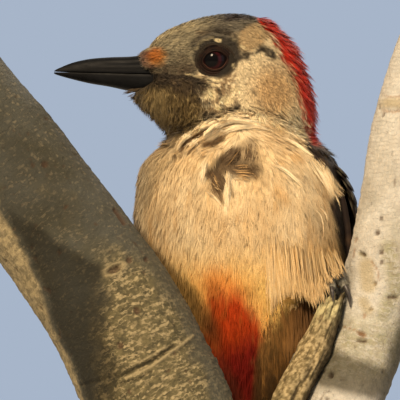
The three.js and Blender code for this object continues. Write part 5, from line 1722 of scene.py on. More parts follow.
# marks of the bark: kind, half width, softness, height, whether on the right limb, line of places in x and
# apparent height. The dark kind is painted shade along the creases
BRANCH_MARKS = [
    ("pale", 0.4, 0.6, 0.5, 0, (-31.6, 162.3, -28.3, 163.5, -24.4, 165.5, -20.5, 168.2, -16, 171.3, -12.1,
        174.2)),
    ("pale", 0.25, 0.7, 0.25, 0, (-30, 165.9, -25, 168, -20, 171.4)),
    ("dark", 0.5, 0.9, -0.4, 0, (-44.6, 159.9, -39.4, 161, -36, 162.6, -33.5, 162.7, -28.4, 165.2, -23.1,
        167.9, -17.9, 171.6)),
    ("dark", 0.3, 0.9, -0.2, 0, (-33, 160.9, -28, 162, -24, 164.2)),
    ("pit", 0.9, 0.4, -0.3, 0, (-55.5, 224.5, -55.4, 224.3)),
    ("pit", 0.8, 0.4, -0.3, 0, (-30.6, 196.6, -30.6, 196.2)),
    ("pit", 0.8, 0.4, -0.3, 0, (-28.5, 182, -28.2, 181.6)),
    ("pit", 0.6, 0.4, -0.2, 0, (-25.7, 196.7, -25.8, 196.3)),
    ("pit", 0.8, 0.4, -0.3, 0, (-33.2, 171.9, -33.2, 171.4)),
    ("pit", 0.5, 0.4, -0.2, 0, (-51.1, 198.8, -51, 198.4)),
    ("pit", 0.6, 0.6, -0.2, 0, (-34.8, 211.2, -32, 207.2)),
    ("pit", 1.1, 0.7, 0.5, 0, (-45, 228.4, -41, 225.4)),
    ("pit", 0.65, 0.4, -0.3, 1, (42.2, 204.4, 42.2, 204.2)),
    ("pit", 0.5, 0.4, -0.3, 1, (43.3, 198.5, 43.6, 198.5)),
    ("green", 0.75, 0.4, -0.3, 1, (37.4, 198, 38.4, 197.6)),
    ("pit", 0.45, 0.5, -0.2, 1, (37.5, 198.2, 38.2, 197.7)),
    ("pit", 0.6, 0.4, -0.3, 1, (41.4, 189.5, 41.4, 189.3)),
    ("pit", 0.5, 0.4, -0.2, 1, (40.2, 181.7, 40.3, 181.6)),
    ("tan", 0.55, 0.4, -0.2, 1, (38.2, 180, 38.2, 179.6)),
    ("pit", 0.6, 0.4, -0.2, 1, (37.2, 174.5, 37.8, 174.2)),
    ("tan", 0.8, 0.5, 0, 1, (37, 174.6, 38.2, 174.2)),
    ("pit", 0.8, 0.4, -0.4, 1, (28, 162.6, 28.3, 162.4)),
    ("pit", 0.5, 0.6, -0.2, 1, (45.6, 185.3, 48, 185.2)),
    ("pit", 0.5, 0.6, -0.2, 1, (36.6, 172.6, 38.6, 172.4)),
    ("tan", 0.3, 0.5, -0.3, 1, (40.4, 195.7, 42, 193.8, 42.6, 191.8, 42.8, 190.2)),
    ("tan", 0.3, 0.8, -0.1, 1, (36.4, 202.6, 36, 201.4)),
    ("tan", 0.25, 0.8, -0.1, 1, (35.8, 199.4, 35.5, 197)),
    ("tan", 0.25, 0.6, -0.2, 1, (32.2, 176.6, 35.2, 175.6, 37.2, 174.6)),
    ("pale", 2.2, 0.5, -0.3, 1, (39, 194.6, 39.4, 188.6)),
    ("pale", 1.6, 0.7, 0, 1, (38, 184, 39.4, 181.6)),
    ("tan", 0.25, 0.5, -0.2, 1, (44.6, 244.8, 47, 244.4, 52, 245)),
    ("tan", 0.35, 0.5, -0.3, 1, (44.2, 240.4, 47, 240, 52, 240.6)),
    ("pale", 1.6, 0.6, 0.5, 1, (44, 242.6, 52, 242.8)),
    ("green", 2.6, 0.8, 0, 1, (46, 200, 48, 188, 44, 180)),
    ("green", 2.6, 0.8, 0, 1, (33, 172, 44, 173)),
]


# apparent height and x: the left limb's lit edge, the far edge of its shadow, and the right limb's shade
LIT_EDGE = (150, -41, 156, -44, 165, -47.5, 171, -50.5, 178, -54, 186, -56.6, 191, -58.6, 197, -61,
            204, -64.5, 212, -69.5)
DARK_EDGE = (150, -34, 158, -34, 165, -33.7, 171, -34.9, 184, -37.6, 194, -38.8, 204, -53.8, 210, -62.8,
             216, -72)
RIGHT_EDGE = (150, 38, 170, 43, 182, 47.5, 190, 52)
KNOT_LEAN = math.radians(24)
BRANCH_SPLIT = 122.0  # height under which the branch is its stem


def build_branch():
    """The forked branch: two tapering tubes joined into one mesh, with bark relief along each limb."""
    left = tube(LIMB_LEFT_PATH, LIMB_LEFT_RADII, 160, 96, SKEW)[0]
    right = tube(LIMB_RIGHT_PATH, LIMB_RIGHT_RADII, 150, 72, SKEW)[0]
    points, tris, quads = voxel_mesh("branch_forms", [closed_grid(left), closed_grid(right)], 0.62)
    share_l, turn_l, length_l, gap_l = along_path(points, LIMB_LEFT_PATH, LIMB_LEFT_RADII)
    share_r, turn_r, length_r, gap_r = along_path(points, LIMB_RIGHT_PATH, LIMB_RIGHT_RADII)
    crotch = ease(4, 0.5, np.maximum(gap_l, gap_r)) * ease(120, 128, points[:, 2])
    points = relaxed(points, tris, 4, 0.5)
    points = relaxed(points, tris, 30, 0.5 * crotch)
    is_right = ease(1.5, -1.5, gap_r - gap_l)
    on_left = 1 - is_right
    normals = vertex_normals(points, tris)
    length = length_l * on_left + length_r * is_right
    turn = np.where(is_right > 0.5, turn_r, turn_l)
    radius = np.where(is_right > 0.5, 11.5, 21)
    flat = np.stack([np.cos(turn) * radius, np.sin(turn) * radius, length], -1)
    # relief: soft lumps, wrinkles that run across, pits, and the marks of each limb
    x, level = points[:, 0], seen_level(points)
    facing = ease(4, -4, points[:, 1] - np.where(is_right > 0.5, 2, -8))
    rim_x = edge_at(LIMB_RIM, level)
    waver = noise(flat, 5, 129, 2)
    # the rough, flecked zone low on the left limb: its own texture, made paler by painted light
    rough_and_lit = ease(-43, -34.5, x + 4.0 * waver) * ease(207, 190, level + 6.0 * waver) * on_left
    rough_and_lit = rough_and_lit * (0.25 + 0.75 * ease(3, 8, rim_x - x + 2.5 * waver))
    knobbly = ease(184, 176, level) * ease(156, 166, level) * is_right
    marked = {kind: np.zeros(len(points)) for kind in ("pit", "green", "dark", "pale", "tan")}
    grow = 0.5 * noise(flat * [1, 1, 0.7], 13, 111, 2) + 0.1 * noise(flat * [0.3, 0.3, 1], 1.5, 112, 2)
    grow = grow + (0.2 + 0.3 * rough_and_lit) * noise(flat * [0.5, 0.5, 1.2], 1.3, 116, 2)
    marked["pit"] = ease(0.52, 0.75, noise(flat, 2.2, 113, 2)) * 0.8
    grow = grow + 0.4 * noise(flat * [0.25, 0.25, 1], 2.6, 114, 2) * ease(142, 120, length_l) * on_left
    grow = grow + 1.1 * noise(flat, 5, 115, 2) * knobbly
    for kind, wide, soft, height, on_right, line in BRANCH_MARKS:
        share = stroke(x, level, line, wide, soft) * facing * (is_right if on_right else on_left)
        grow = grow + height * share
        marked[kind] = np.maximum(marked[kind], share)
    pits, greens, crease_shades, pales, tans = marked.values()
    # the knot: a lens that leans, with a pale rim and a dark hollow
    c, s = math.cos(KNOT_LEAN), math.sin(KNOT_LEAN)
    u, v = (x + 34.9) * c + (level - 193.6) * s, -(x + 34.9) * s + (level - 193.6) * c
    lens = np.hypot(u / 3, v / 1.4)
    rim = np.exp(-(((lens - 1.05) / 0.28) ** 2)) * facing * on_left
    hollow = ease(0.9, 0.5, lens) * facing * on_left
    grow = grow + 0.55 * rim - 0.8 * hollow
    # painted light down the outer edge of the left limb, and painted shadow beside it and over the upper
    # limb's outer part
    edge = edge_at(LIT_EDGE, level) + 1.1 * waver + 0.5 * noise(flat, 1.5, 130, 2)
    lit_strip = ease(1.2, -0.8, x - edge) * ease(222, 210, level) * on_left
    band = ease(-0.4, 3, x - edge) * ease(3.5, -3, x - edge_at(DARK_EDGE, level) + 3.0 * waver)
    band = band * ease(222, 204, level)
    band = np.maximum(band, 0.5 * ease(2, 18, rim_x - x) * ease(199, 212, level))
    band = band * (1 - lit_strip) * on_left * facing
    # painted shade across the right limb low down and along its right side
    right_shade = ease(170, 166, level + 0.35 * (x - 34) + waver)
    right_shade = right_shade * ease(155.5, 159, level + 0.2 * (x - 34) + waver)
    right_shade = np.maximum(right_shade, ease(0, 5, x - edge_at(RIGHT_EDGE, level))) * is_right
    aged = np.maximum(0.5 * ease(42, 50, x) * ease(215, 205, level), 0.75 * knobbly) * is_right
    greens = np.maximum(greens, aged)
    end = np.maximum(ease(0.985, 0.997, share_l), ease(0.985, 0.997, share_r) * is_right)
    end = np.maximum(end, ease(42.5, 40.6, points[:, 2]))
    grow = grow - 0.45 * pits
    # the left limb draws in low down on its inner side; the right limb swells behind the foot
    inner = ease(0.1, 0.8, normals[:, 0]) * on_left
    grow = grow - 4.4 * inner * ease(168, 153, level) * ease(134, 150, level)
    outer = ease(-0.2, -0.8, normals[:, 0]) * ease(-0.35, 0.1, normals[:, 1]) * is_right
    grow = grow + 1.7 * outer * np.exp(-(((level - 188.5) / 8) ** 2))
    points = points + normals * (grow * (1 - end) * looks().bark_relief)[:, None]
    marks = np.stack([is_right, np.clip(np.maximum(pits, 0.8 * hollow), 0, 1), np.clip(end, 0, 1)], -1)
    extra = np.stack([np.maximum(pales, 0.8 * rim), tans, rough_and_lit], -1)
    tones = np.stack([np.maximum(np.maximum(band * 0.9, crease_shades), right_shade), lit_strip, greens], -1)
    place = flat * (1 / 400) + [0.5, 0.5, 0]
    # three pieces that meet edge to edge, with the whole branch's shading normals
    colours = {"Bark": marks, "Feature": np.clip(extra, 0, 1), "Tone": np.clip(tones, 0, 1), "Limb": place}
    normals = vertex_normals(points, tris)
    finish = bark_material()
    low = points[quads, 2].mean(1) < BRANCH_SPLIT
    right_side = is_right[quads].mean(1) > 0.5
    made = []
    for name, own in (("left", ~low & ~right_side), ("right", ~low & right_side), ("stem", low)):
        used, faces = np.unique(quads[own], return_inverse=True)
        own_colours = {key: value[used] for key, value in colours.items()}
        made.append(put_mesh("branch_" + name, points[used], [faces.reshape(-1, 4)], finish,
                             colours=own_colours, normals=normals[used]))
    return made


def bark_material():
    """Pale smooth bark: grey-brown on one limb and cream on the other, with pale flecks that run across,
    dark pits, lichen grey and green patches, and bare wood at the sawn ends. Painted light runs down the left
    limb's outer edge and over its rough zone, and painted shade lies beside that edge, in its creases and on
    the right limb."""
    made, tree, shader = material("Bark", roughness=0.85, specular=0.25)
    on_right, pit, sawn = separated(tree, "Bark")[:3]
    pale, tan, rough_and_lit = separated(tree, "Feature")[:3]
    dark, lit_strip, green = separated(tree, "Tone")[:3]
    limb = node(tree, "ShaderNodeVectorMath", operation="SCALE", scale=0.4)
    put(tree, limb.inputs[0], attribute(tree, "Limb").outputs["Color"])
    place, flecks = limb.outputs[0], (0.34, 0.34, 1.3)
    broad, _ = grain(tree, place, scale=38, detail=4, low=0.32, high=0.68)
    blotch, _ = grain(tree, place, stretch=(0.7, 0.7, 1), scale=640, detail=4, low=0.42, high=0.6)
    cross, cross_height = grain(tree, place, stretch=flecks, scale=1150, detail=3, low=0.5, high=0.6)
    dash, _ = grain(tree, place, stretch=flecks, scale=1500, detail=2, low=0.55, high=0.66)
    fine, fine_height = grain(tree, place, scale=1500, detail=5, low=0.35, high=0.68)
    mossy, _ = grain(tree, place, scale=55, detail=5, low=0.55, high=0.68)
    speck, _ = grain(tree, place, scale=620, detail=3, low=0.64, high=0.72)
    grey = lay(tree, paint("bark_grey"), "bark_brown", broad)
    grey = lay(tree, grey, "bark_deep", fine, 0.45)
    grey = lay(tree, grey, "bark_fleck", dash, 0.32)
    low = lay(tree, paint("bark_green"), "bark_deep", blotch, 0.55)
    # the rough zone takes pale flecks, in part painted light
    grey = blend(tree, rough_and_lit, grey, lay(tree, low, "bark_lit", cross, 0.75))
    lit = lay(tree, paint("bark_lit"), "bark_brown", blotch, 0.6)
    # painted light down the outer edge of the left limb
    grey = blend(tree, lit_strip, grey, lay(tree, lit, "bark_fleck", dash, 0.6))
    cream = lay(tree, paint("bark_cream"), "bark_pale", broad)
    cream = lay(tree, cream, "bark_tan", fine, 0.3)
    cream = lay(tree, cream, "bark_brown", blotch, 0.14)
    lichen = lay(tree, paint("bark_lichen"), "bark_fleck", blotch, 0.6)
    lichen = lay(tree, lichen, "bark_pale", cross, 0.6)
    colour = blend(tree, on_right, grey, blend(tree, times(tree, green, 0.8), cream, lichen))
    for name, mask, share in (("bark_green", mossy, 0.25), ("bark_pit", speck, 0.4), ("bark_pit", pit, 0.85),
                              ("bark_lit", pale, 0.7), ("bark_rust", tan, 0.55)):
        colour = lay(tree, colour, name, mask, share)
    # painted shade: the bark is darkened beside the left limb's lit edge, along its creases and on the right
    # limb
    colour = blend(tree, dark, colour, blend(tree, 1, colour, (0.28, 0.27, 0.24), "MULTIPLY"))
    colour = toned(tree, colour, fine, 0.8, 1.1)
    rings, _ = grain(tree, object_place(tree), stretch=(1, 1, 0.2), scale=500, detail=4)
    cut = blend(tree, rings, shade(196, 168, 126), shade(150, 116, 78))
    put(tree, shader.inputs["Base Color"], blend(tree, sawn, colour, cut))
    bump(tree, shader, math_node(tree, "ADD", times(tree, cross_height, 0.6), fine_height), 0.75, 0.0007)
    return made


def build_stub():
    """The dead stub in the fork: a tube with long splits down its fibres and a torn, hollow top."""
    rows, cols = 130, 88
    grid, out, _ = tube(STUB_PATH, STUB_RADII, rows, cols, SKEW, 0, 1)
    turn = circle(cols)
    share = np.linspace(0, 1, rows)[:, None]
    flat = np.stack([np.cos(turn) * 6 + 0 * share, np.sin(turn) * 6 + 0 * share, 12 * share + 0 * turn], -1)
    fibre = noise(flat * [1, 1, 0.6], 1.1, 121, 3)
    knob = noise(flat * [0.5, 0.5, 1.6], 3, 122, 2)
    top = ease(0.72, 0.92, share)
    grow = 0.55 * fibre + 0.7 * knob - 0.7 * ease(0.3, 0.65, noise(flat * [1, 1, 0.25], 1.6, 123, 2))
    grow = grow - 0.5 * ease(0.9, 0.3, share) + top * 0.7 * noise(flat, 1.5, 126, 2)
    jag = 3.4 * noise(np.stack([np.cos(turn) * 3, np.sin(turn) * 3, 0 * turn], -1), 1.4, 124, 3)
    along = unit(np.gradient(through(STUB_PATH, share[:, 0]), axis=0))[:, None]
    grid = grid + out * grow[..., None] + along * (jag * share**6)[..., None]
    last = grid[-1]
    centre = last.mean(0)
    hollow = ((0.72, 0.4), (0.6, 2.2), (0.3, 3.4))  # the share of the rim's width, and the depth under it
    grid = np.vstack([grid, *([centre + (last - centre) * k - along[-1, 0] * d] for k, d in hollow)])
    points, faces = outward(*closed_grid(grid))
    # darker along the low fibres, and painted shade inside the hollow top
    dark = np.concatenate([np.broadcast_to(ease(0, -0.45, fibre) * 0.85, (rows, cols)).ravel(),
                           np.full(3 * cols, 0.7), [0.3, 0.9]])
    right_side = (points - through(STUB_PATH, [0.5])[0]) @ np.array([0.86, 0.3, -0.42])
    grain_mark = noise(points * [1, 1, 0.7], 0.6, 127, 3)
    colour = mixed("stub", "stub_pale", ease(-0.15, 0.35, grain_mark))
    colour = mixed(colour, "bark_green", ease(0, 0.5, noise(points, 2.2, 131, 2)) * 0.4)
    colour = mixed(colour, "stub_dark_and_shade", ease(-0.2, -0.6, grain_mark) * 0.6)
    head_end = np.concatenate([np.broadcast_to(top, (rows, cols)).ravel(), np.ones(3 * cols), [0, 1]])
    moss = mixed("stub_moss", "bark_green", ease(-0.1, 0.4, noise(points, 1, 125, 3)))
    colour = mixed(colour, moss, head_end * ease(-0.5, 0.2, noise(points, 1.6, 128, 2)) * 0.85)
    colour = mixed(colour, "stub_dark_and_shade", dark)
    # painted shade on the stub's right side
    colour = mixed(colour, "stub_dark_and_shade", ease(0.6, 3, right_side) * 0.8)
    made = skin_like_material("Dead_wood", 0.9, 0.2, 900, 0.6)
    return put_mesh("perch_stub_wood", points, faces, made, colours={"Marking": colour})


def rounded_plate(profile, wide, deep, corner, cols=160):
    """Rings of a rounded rectangle, each (inward, height) of the profile from the full size."""
    rings = []
    for inward, height in profile:
        radius = max(corner - inward, 0.5)
        sides = []
        for size, part in ((wide, np.cos(circle(cols))), (deep, np.sin(circle(cols)))):
            flat = np.clip(np.sign(part) * np.abs(part) ** 0.5 * 1.35, -1, 1)
            sides.append((size / 2 - inward - radius) * flat + radius * part)
        rings.append(np.stack([*sides, np.full(cols, height)], -1))
    return np.stack(rings)


def wood_material():
    """Dark stained wood: growth rings seen along the plank, pores, and a satin lacquer."""
    made, tree, shader = material("Stained_wood", roughness=0.38, specular=0.5, coat=0.25,
                                  coat_roughness=0.18)
    place = object_place(tree)
    warp, _ = grain(tree, place, stretch=(0.3, 1, 1), scale=22, detail=3, low=0.2, high=0.8)
    along = node(tree, "ShaderNodeVectorMath", operation="MULTIPLY")
    put(tree, along.inputs[0], place)
    put(tree, along.inputs[1], (0.12, 1, 1))
    wave = node(tree, "ShaderNodeTexWave", wave_type="BANDS", bands_direction="Y", wave_profile="SAW",
                scale=55, distortion=5, detail=3, detail_scale=1.6, vector=along.outputs[0])
    pores, height = grain(tree, place, stretch=(0.05, 1, 1), scale=2600, detail=3, low=0.45, high=0.7)
    dark = paint("wood_dark")
    colour = ramp(tree, wave.outputs["Fac"], [(0, dark), (0.7, paint("wood")), (1, dark)])
    colour = blend(tree, times(tree, pores, 0.4), colour, tuple(0.5 * tint("wood_dark")))
    colour = blend(tree, times(tree, warp, 0.2), colour, tuple(1.25 * tint("wood")))
    put(tree, shader.inputs["Base Color"], colour)
    bump(tree, shader, height, 0.15, 0.0001)
    return made


def steel_material():
    """Brushed steel: fine lines round the rod in roughness and height."""
    made, tree, shader = material("Rod_steel", roughness=0.3, metallic=1)
    shader.inputs["Base Color"].default_value = (*shade(168, 170, 172), 1)
    value, height = grain(tree, object_place(tree), stretch=(0.1, 0.1, 1), scale=3000, detail=3)
    roughened(tree, shader, value, 0.22, 0.4)
    bump(tree, shader, height, 0.2, 0.00005)
    return made


def placed(piece, nodes):
    """Puts a piece on the one body, in place of its nodes."""
    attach(piece, "root")
    if nodes:
        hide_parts(*nodes)
    return piece


# ---- Add-on --------------------------------------------------------------------------------------
# screen colours, 0 to 255
COLOURS = {
    "cheek": (226, 207, 166), "cheek_brown": (116, 90, 58), "forehead": (132, 123, 98), "crown": (102, 95,
    80), "crown_dark": (54, 45, 44), "buff_patch": (172, 148, 108), "eye_patch": (46, 40, 31), "fleck": (224,
    206, 160), "line_dark": (44, 35, 24), "lore": (72, 60, 44), "malar": (68, 55, 38), "ear": (190, 152,
    100), "throat": (100, 82, 48), "nasal": (150, 84, 20), "nasal_hair": (112, 74, 58), "arc": (122, 112,
    86), "nape": (208, 40, 6), "nape_deep": (150, 22, 5), "breast": (230, 200, 150), "breast_pale": (247,
    228, 188), "breast_gold": (214, 164, 90), "down": (98, 78, 54), "collar_gap_shade": (88, 60, 28),
    "belly_buff": (252, 206, 110), "belly_fringe": (246, 168, 80), "belly_red": (200, 66, 2),
    "belly_deep_and_shade": (140, 22, 3), "flank_bar": (60, 50, 40), "back": (30, 27, 26), "bar": (196, 188, 150),
    "rump": (220, 215, 200), "wing_brown": (74, 60, 48), "orbit": (36, 22, 15), "orbit_dark": (14, 9, 8),
    "orbit_rim": (92, 58, 44), "iris": (48, 12, 14), "iris_dark": (17, 6, 7), "bark_grey": (96, 97, 90),
    "bark_brown": (74, 71, 56), "bark_fleck": (156, 142, 114), "bark_green": (108, 99, 70),
    "bark_cream": (236, 236, 228), "bark_pale": (206, 202, 190), "bark_tan": (176, 146, 108),
    "bark_pit": (84, 64, 48), "stub": (124, 108, 74), "stub_pale": (190, 170, 128), "throat_pale": (156, 136,
    92), "nasal_gold": (150, 104, 44), "belly_dark_shade": (86, 22, 8), "belly_shade": (104, 72, 30),
    "belly_brown_and_shade": (170, 88, 22), "belly_under_shade": (96, 66, 34), "drape": (128, 90, 42), "flank_brown": (120,
    92, 62), "wing_shade": (48, 36, 32), "fringe": (224, 192, 140), "bark_deep": (48, 48, 38),
    "bark_lit": (180, 163, 124), "bark_rust": (150, 108, 68), "bark_lichen": (158, 154, 118),
    "stub_moss": (200, 190, 142), "stub_dark_and_shade": (44, 36, 24), "wood": (104, 66, 40), "wood_dark": (56, 34,
    22), "floor": (214, 212, 208),
}
PLINTH_LOW, PLINTH_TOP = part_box("stand_base")


def distance(name, words, default, **limits):
    """A length that the panel shows in the scene's unit."""
    return FloatProperty(name=name, description=words, default=default, subtype="DISTANCE", unit="LENGTH",
                         **limits)


SIZES = {
    "coat_depth": distance("Coat depth", "How far the skin lies under the solid body", 0.0018,
                           min=0.001, max=0.006),
    "tuft_size": FloatProperty(name="Tuft size", description="Scale of every tuft's length and width",
                               default=1, min=0.5, max=2),
    "bark_relief": FloatProperty(name="Bark relief", description="Scale of the bark's lumps and creases",
                                 default=1, min=0, max=3),
    "plinth_width": distance("Plinth width", "Width of the plinth", round(PLINTH_TOP.x - PLINTH_LOW.x, 4)),
    "plinth_depth": distance("Plinth depth", "Depth of the plinth, front to back",
                             round(PLINTH_TOP.y - PLINTH_LOW.y, 4)),
    "plinth_height": distance("Plinth height", "Height of the plinth", round(PLINTH_TOP.z, 4)),
    "floor_size": distance("Floor size", "Length of the floor's sides", 14, min=1),
    "seed": IntProperty(name="Seed", description="Fixes every random choice", default=7, min=0),
}


class WoodpeckerLooks(PropertyGroup):
    """Sizes and colours of the woodpecker and its stand."""

    __annotations__ = {
        **SIZES,
        **{key: FloatVectorProperty(name=key.replace("_", " ").capitalize(),
                                    description="Colour: " + key.replace("_", " "), subtype="COLOR", size=3,
                                    min=0, max=1, default=shade(*rgb)) for key, rgb in COLOURS.items()},
    }


class MODEL_OT_skin(Operator):
    """Build the skin of the head, neck, trunk and thighs"""

    bl_idname = "woodpecker.skin"
    bl_label = "Skin"

    def execute(self, context):
        build_skin()
        colours = plumage(SKIN["points"]) * 0.55
        made = skin_like_material("Skin", 0.8, 0.2, 1500, 0.3)
        piece = put_mesh("skin", SKIN["points"], [SKIN["quads"]], made, colours={"Marking": colours})
        placed(piece, ("head", "neck", "trunk", "thigh_left", "thigh_right"))
        return {"FINISHED"}


HEAD_COAT = ["coat_" + name for name in ("crown", "cheek", "throat", "nasal", "nape", "orbit", "spikes")]


class MODEL_OT_coat(Operator):
    """Grow the tufts of the coat over the skin"""

    bl_idname = "woodpecker.coat"
    bl_label = "Coat"

    def execute(self, context):
        scale = looks().tuft_size
        for number, (name, (share, spacing, make)) in enumerate(coat_regions().items()):
            roots = scatter(share, spacing * scale, looks().seed + number)
            make = {**make, "length": make["length"] * scale, "width": make["width"] * scale}
            piece = tufts(name, roots, seed=looks().seed + 50 + number, **make)
            node_name, slot = ("head", "face") if name in HEAD_COAT else ("trunk", "breast")
            placed(piece, (node_name,))
        placed(drawn_strands("coat_strands", DRAWN, looks().seed + 90), ("trunk",))
        placed(drawn_strands("coat_fringe", fringe_rows(), looks().seed + 91, 0.12), ("trunk",))
        return {"FINISHED"}


class MODEL_OT_bill(Operator):
    """Build the two halves of the bill"""

    bl_idname = "woodpecker.bill"
    bl_label = "Bill"

    def execute(self, context):
        made = horn_material("Bill_horn", shade(7, 7, 9), shade(21, 22, 24), 0.56, 0.14)
        for name, node_name in (("bill_top", "bill_upper"), ("bill_bottom", "bill_lower")):
            points, faces = outward(*closed_grid(bill_half(name == "bill_top")))
            placed(put_mesh(name, points, faces, made), (node_name,))
        return {"FINISHED"}


class MODEL_OT_eyes(Operator):
    """Build the eyes and the rings of bare skin round them"""

    bl_idname = "woodpecker.eyes"
    bl_label = "Eyes"

    def execute(self, context):
        wet = iris_material()
        lid = skin_like_material("Orbital_skin", 0.75, 0.12, 2500, 0.5)
        for name, side in (("left", 1), ("right", -1)):
            points, faces, marks = eye_ball(side)
            points, faces = outward(points, faces)
            piece = put_mesh("eye_ball_" + name, points, faces, wet, colours={"Gaze": marks})
            placed(piece, ("eye_" + name,))
            grid, colour = lid_ring(side)
            rows, cols = grid.shape[:2]
            faces = sheet_faces(rows, cols)
            if side < 0:
                faces = faces[:, ::-1]
            piece = put_mesh("lids_" + name, grid.reshape(-1, 3), [faces], lid,
                             colours={"Marking": colour.reshape(-1, 3)})
            placed(piece, ("head",))
        return {"FINISHED"}


class MODEL_OT_wings(Operator):
    """Build the folded wings"""

    bl_idname = "woodpecker.wings"
    bl_label = "Wings"

    def execute(self, context):
        for name, side in (("left", 1), ("right", -1)):
            for piece in build_wing("wing_vanes_" + name, side):
                placed(piece, ("wing_" + name, "primaries_" + name))
        return {"FINISHED"}


class MODEL_OT_tail(Operator):
    """Build the tail"""

    bl_idname = "woodpecker.tail"
    bl_label = "Tail"

    def execute(self, context):
        piece = build_tail()
        sheet = piece.modifiers.new("Thickness", "SOLIDIFY")
        sheet.thickness = 0.00025
        sheet.offset = 0
        placed(piece, ("tail",))
        return {"FINISHED"}


class MODEL_OT_legs(Operator):
    """Build the shanks, toes and claws"""

    bl_idname = "woodpecker.legs"
    bl_label = "Legs"

    def execute(self, context):
        scaled = bare_skin_material()
        horn = horn_material("Claw_horn", shade(46, 42, 40), shade(96, 88, 80), 0.35)
        for name, leg in LEGS.items():
            (points, faces), claws = leg_parts(leg)
            tone = 0.75 + 0.45 * ease(-0.4, 0.5, noise(points, 1.3, 131, 2))
            tone = np.repeat(tone[:, None], 3, 1)
            piece = put_mesh("leg_" + name, points, faces, scaled, colours={"Marking": tone})
            placed(piece, ("tarsus_" + name, "foot_" + name))
            for number, (points, faces) in enumerate(claws, 1):
                piece = put_mesh("talon_" + name + "_" + str(number), points, faces, horn)
                placed(piece, ("claw_" + name + "_" + str(number),))
        return {"FINISHED"}


class MODEL_OT_perch(Operator):
    """Build the forked branch and its dead stub"""

    bl_idname = "woodpecker.perch"
    bl_label = "Perch"

    def execute(self, context):
        for piece, node_name in zip(build_branch(), ("perch_limb_left", "perch_limb_right", "perch_stem")):
            placed(piece, (node_name,))
        placed(build_stub(), ("perch_stub",))
        return {"FINISHED"}


# the plinth's moulded top edge: inward and down; a rod's collar: out and up from the plinth's top
PLINTH_EDGE = [(0, 5), (0.5, 4.4), (0.9, 3.8), (1, 3), (1.4, 1.6), (2.4, 0.5), (3.8, 0), (9, 0)]
ROD_COLLAR = [(0, -0.2), (2.2, -0.1), (2.4, 0.3), (2.4, 1.6), (2, 2.1), (0, 2.4)]


class MODEL_OT_stand(Operator):
    """Build the plinth and its rods"""

    bl_idname = "woodpecker.stand"
    bl_label = "Stand"

    def execute(self, context):
        size = looks()
        wide, deep, high = (v / MM for v in (size.plinth_width, size.plinth_depth, size.plinth_height))
        profile = [(4, 0), (1.2, 0), (0.4, 0.4), (0, 1.2)]
        profile += [(inward, high - drop) for inward, drop in PLINTH_EDGE]
        points, faces = outward(*closed_grid(rounded_plate(profile, wide, deep, 18)))
        placed(put_mesh("plinth", points, faces, wood_material(), smooth=False), ("stand_base",))
        steel = steel_material()
        turn = circle(64)
        for name in ("left", "right"):
            low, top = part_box("stand_rod_" + name)
            x, y = (low.x + top.x) / 2 / MM, (low.y + top.y) / 2 / MM
            radius = (top.x - low.x) / 2 / MM
            profile = [(radius, low.z / MM), *((radius + out, high + up) for out, up in ROD_COLLAR),
                       (radius, top.z / MM)]
            rings = [np.stack([x + r * np.cos(turn), y + r * np.sin(turn), z + 0 * turn], -1)
                     for r, z in profile]
            points, faces = outward(*closed_grid(np.stack(rings)))
            piece = put_mesh("rod_" + name, points, faces, steel)
            edge = piece.modifiers.new("Edges", "EDGE_SPLIT")
            edge.split_angle = math.radians(40)
            placed(piece, ("stand_rod_" + name,))
        return {"FINISHED"}


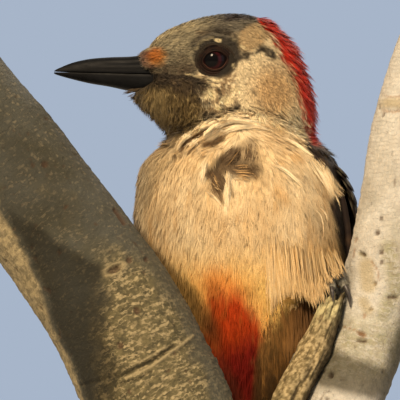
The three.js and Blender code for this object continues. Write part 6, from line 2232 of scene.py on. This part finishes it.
class MODEL_OT_stage(Operator):
    """Set the floor, the light, the sky and the camera"""

    bl_idname = "woodpecker.stage"
    bl_label = "Stage"

    def execute(self, context):
        scene = context.scene
        size = looks().floor_size
        bpy.ops.mesh.primitive_plane_add(size=size, location=(0, 0, 0))
        floor = context.object
        floor.name = "floor"
        made, tree, shader = material("Floor", roughness=0.9, specular=0.2)
        value, _ = grain(tree, object_place(tree), scale=3, detail=4)
        colour = tint("floor")
        tree.links.new(blend(tree, value, tuple(colour * 0.96), tuple(colour)), shader.inputs["Base Color"])
        floor.data.materials.append(made)

        world = bpy.data.worlds.new("Sky")
        world.use_nodes = True
        tree = world.node_tree
        seen = tree.nodes["Background"]
        seen.inputs[0].default_value = (*shade(167, 181, 201), 1)
        soft = tree.nodes.new("ShaderNodeBackground")
        soft.inputs[0].default_value = (*shade(206, 204, 200), 1)
        soft.inputs[1].default_value = 0.4
        ray = tree.nodes.new("ShaderNodeLightPath")
        mix = tree.nodes.new("ShaderNodeMixShader")
        tree.links.new(ray.outputs["Is Camera Ray"], mix.inputs[0])
        tree.links.new(soft.outputs[0], mix.inputs[1])
        tree.links.new(seen.outputs[0], mix.inputs[2])
        tree.links.new(mix.outputs[0], tree.nodes["World Output"].inputs[0])
        scene.world = world
        aim = Vector((-0.010, 0.020, 0.215))
        for name, place, power, size, colour in (
            ("Key", (-0.6, -1.7, 1.75), 75, 0.5, shade(255, 228, 190)),
            ("Fill", (1.6, -1.6, 0.8), 6, 1.4, shade(240, 240, 250)),
            ("Back", (0.8, 2, 1.6), 28, 1.2, shade(255, 244, 228)),
        ):
            lamp = bpy.data.lights.new(name, "AREA")
            lamp.energy = power
            lamp.size = size
            lamp.color = colour
            holder = bpy.data.objects.new(name, lamp)
            scene.collection.objects.link(holder)
            holder.location = place
            holder.rotation_euler = (aim - Vector(place)).to_track_quat("-Z", "Y").to_euler()
            holder.visible_camera = False

        target = Vector((-0.010, 0.020, 0.2139))
        rise = math.radians(3)
        distance = 1.6
        camera = bpy.data.cameras.new("Camera")
        camera.sensor_width = 36
        camera.lens = 480
        camera.clip_start = 0.01
        camera.clip_end = 100
        holder = bpy.data.objects.new("Camera", camera)
        scene.collection.objects.link(holder)
        holder.location = target + Vector((0, -distance * math.cos(rise), -distance * math.sin(rise)))
        holder.rotation_euler = (target - holder.location).to_track_quat("-Z", "Y").to_euler()
        scene.camera = holder
        scene.view_settings.view_transform = "Standard"
        return {"FINISHED"}


class VIEW3D_PT_woodpecker(Panel):
    """The woodpecker's sizes, colours and pieces"""

    bl_label = "Woodpecker"
    bl_idname = "VIEW3D_PT_woodpecker"
    bl_space_type = "VIEW_3D"
    bl_region_type = "UI"
    bl_category = "Woodpecker"

    def draw(self, context):
        for key in (*SIZES, *COLOURS):
            self.layout.prop(context.scene.woodpecker, key)
        for operator in OPERATORS:
            self.layout.operator(operator.bl_idname)


OPERATORS = (MODEL_OT_skin, MODEL_OT_coat, MODEL_OT_bill, MODEL_OT_eyes, MODEL_OT_wings, MODEL_OT_tail,
             MODEL_OT_legs, MODEL_OT_perch, MODEL_OT_stand, MODEL_OT_stage)
CLASSES = (WoodpeckerLooks, *OPERATORS, VIEW3D_PT_woodpecker)


def register():
    for cls in CLASSES:
        bpy.utils.register_class(cls)
    bpy.types.Scene.woodpecker = PointerProperty(type=WoodpeckerLooks)


def unregister():
    del bpy.types.Scene.woodpecker
    for cls in reversed(CLASSES):
        bpy.utils.unregister_class(cls)


def main():
    register()
    for step in ("skin", "coat", "bill", "eyes", "wings", "tail", "legs", "perch", "stand", "stage"):
        getattr(bpy.ops.woodpecker, step)()
    bpy.context.view_layer.update()


if __name__ == "__main__":
    main()
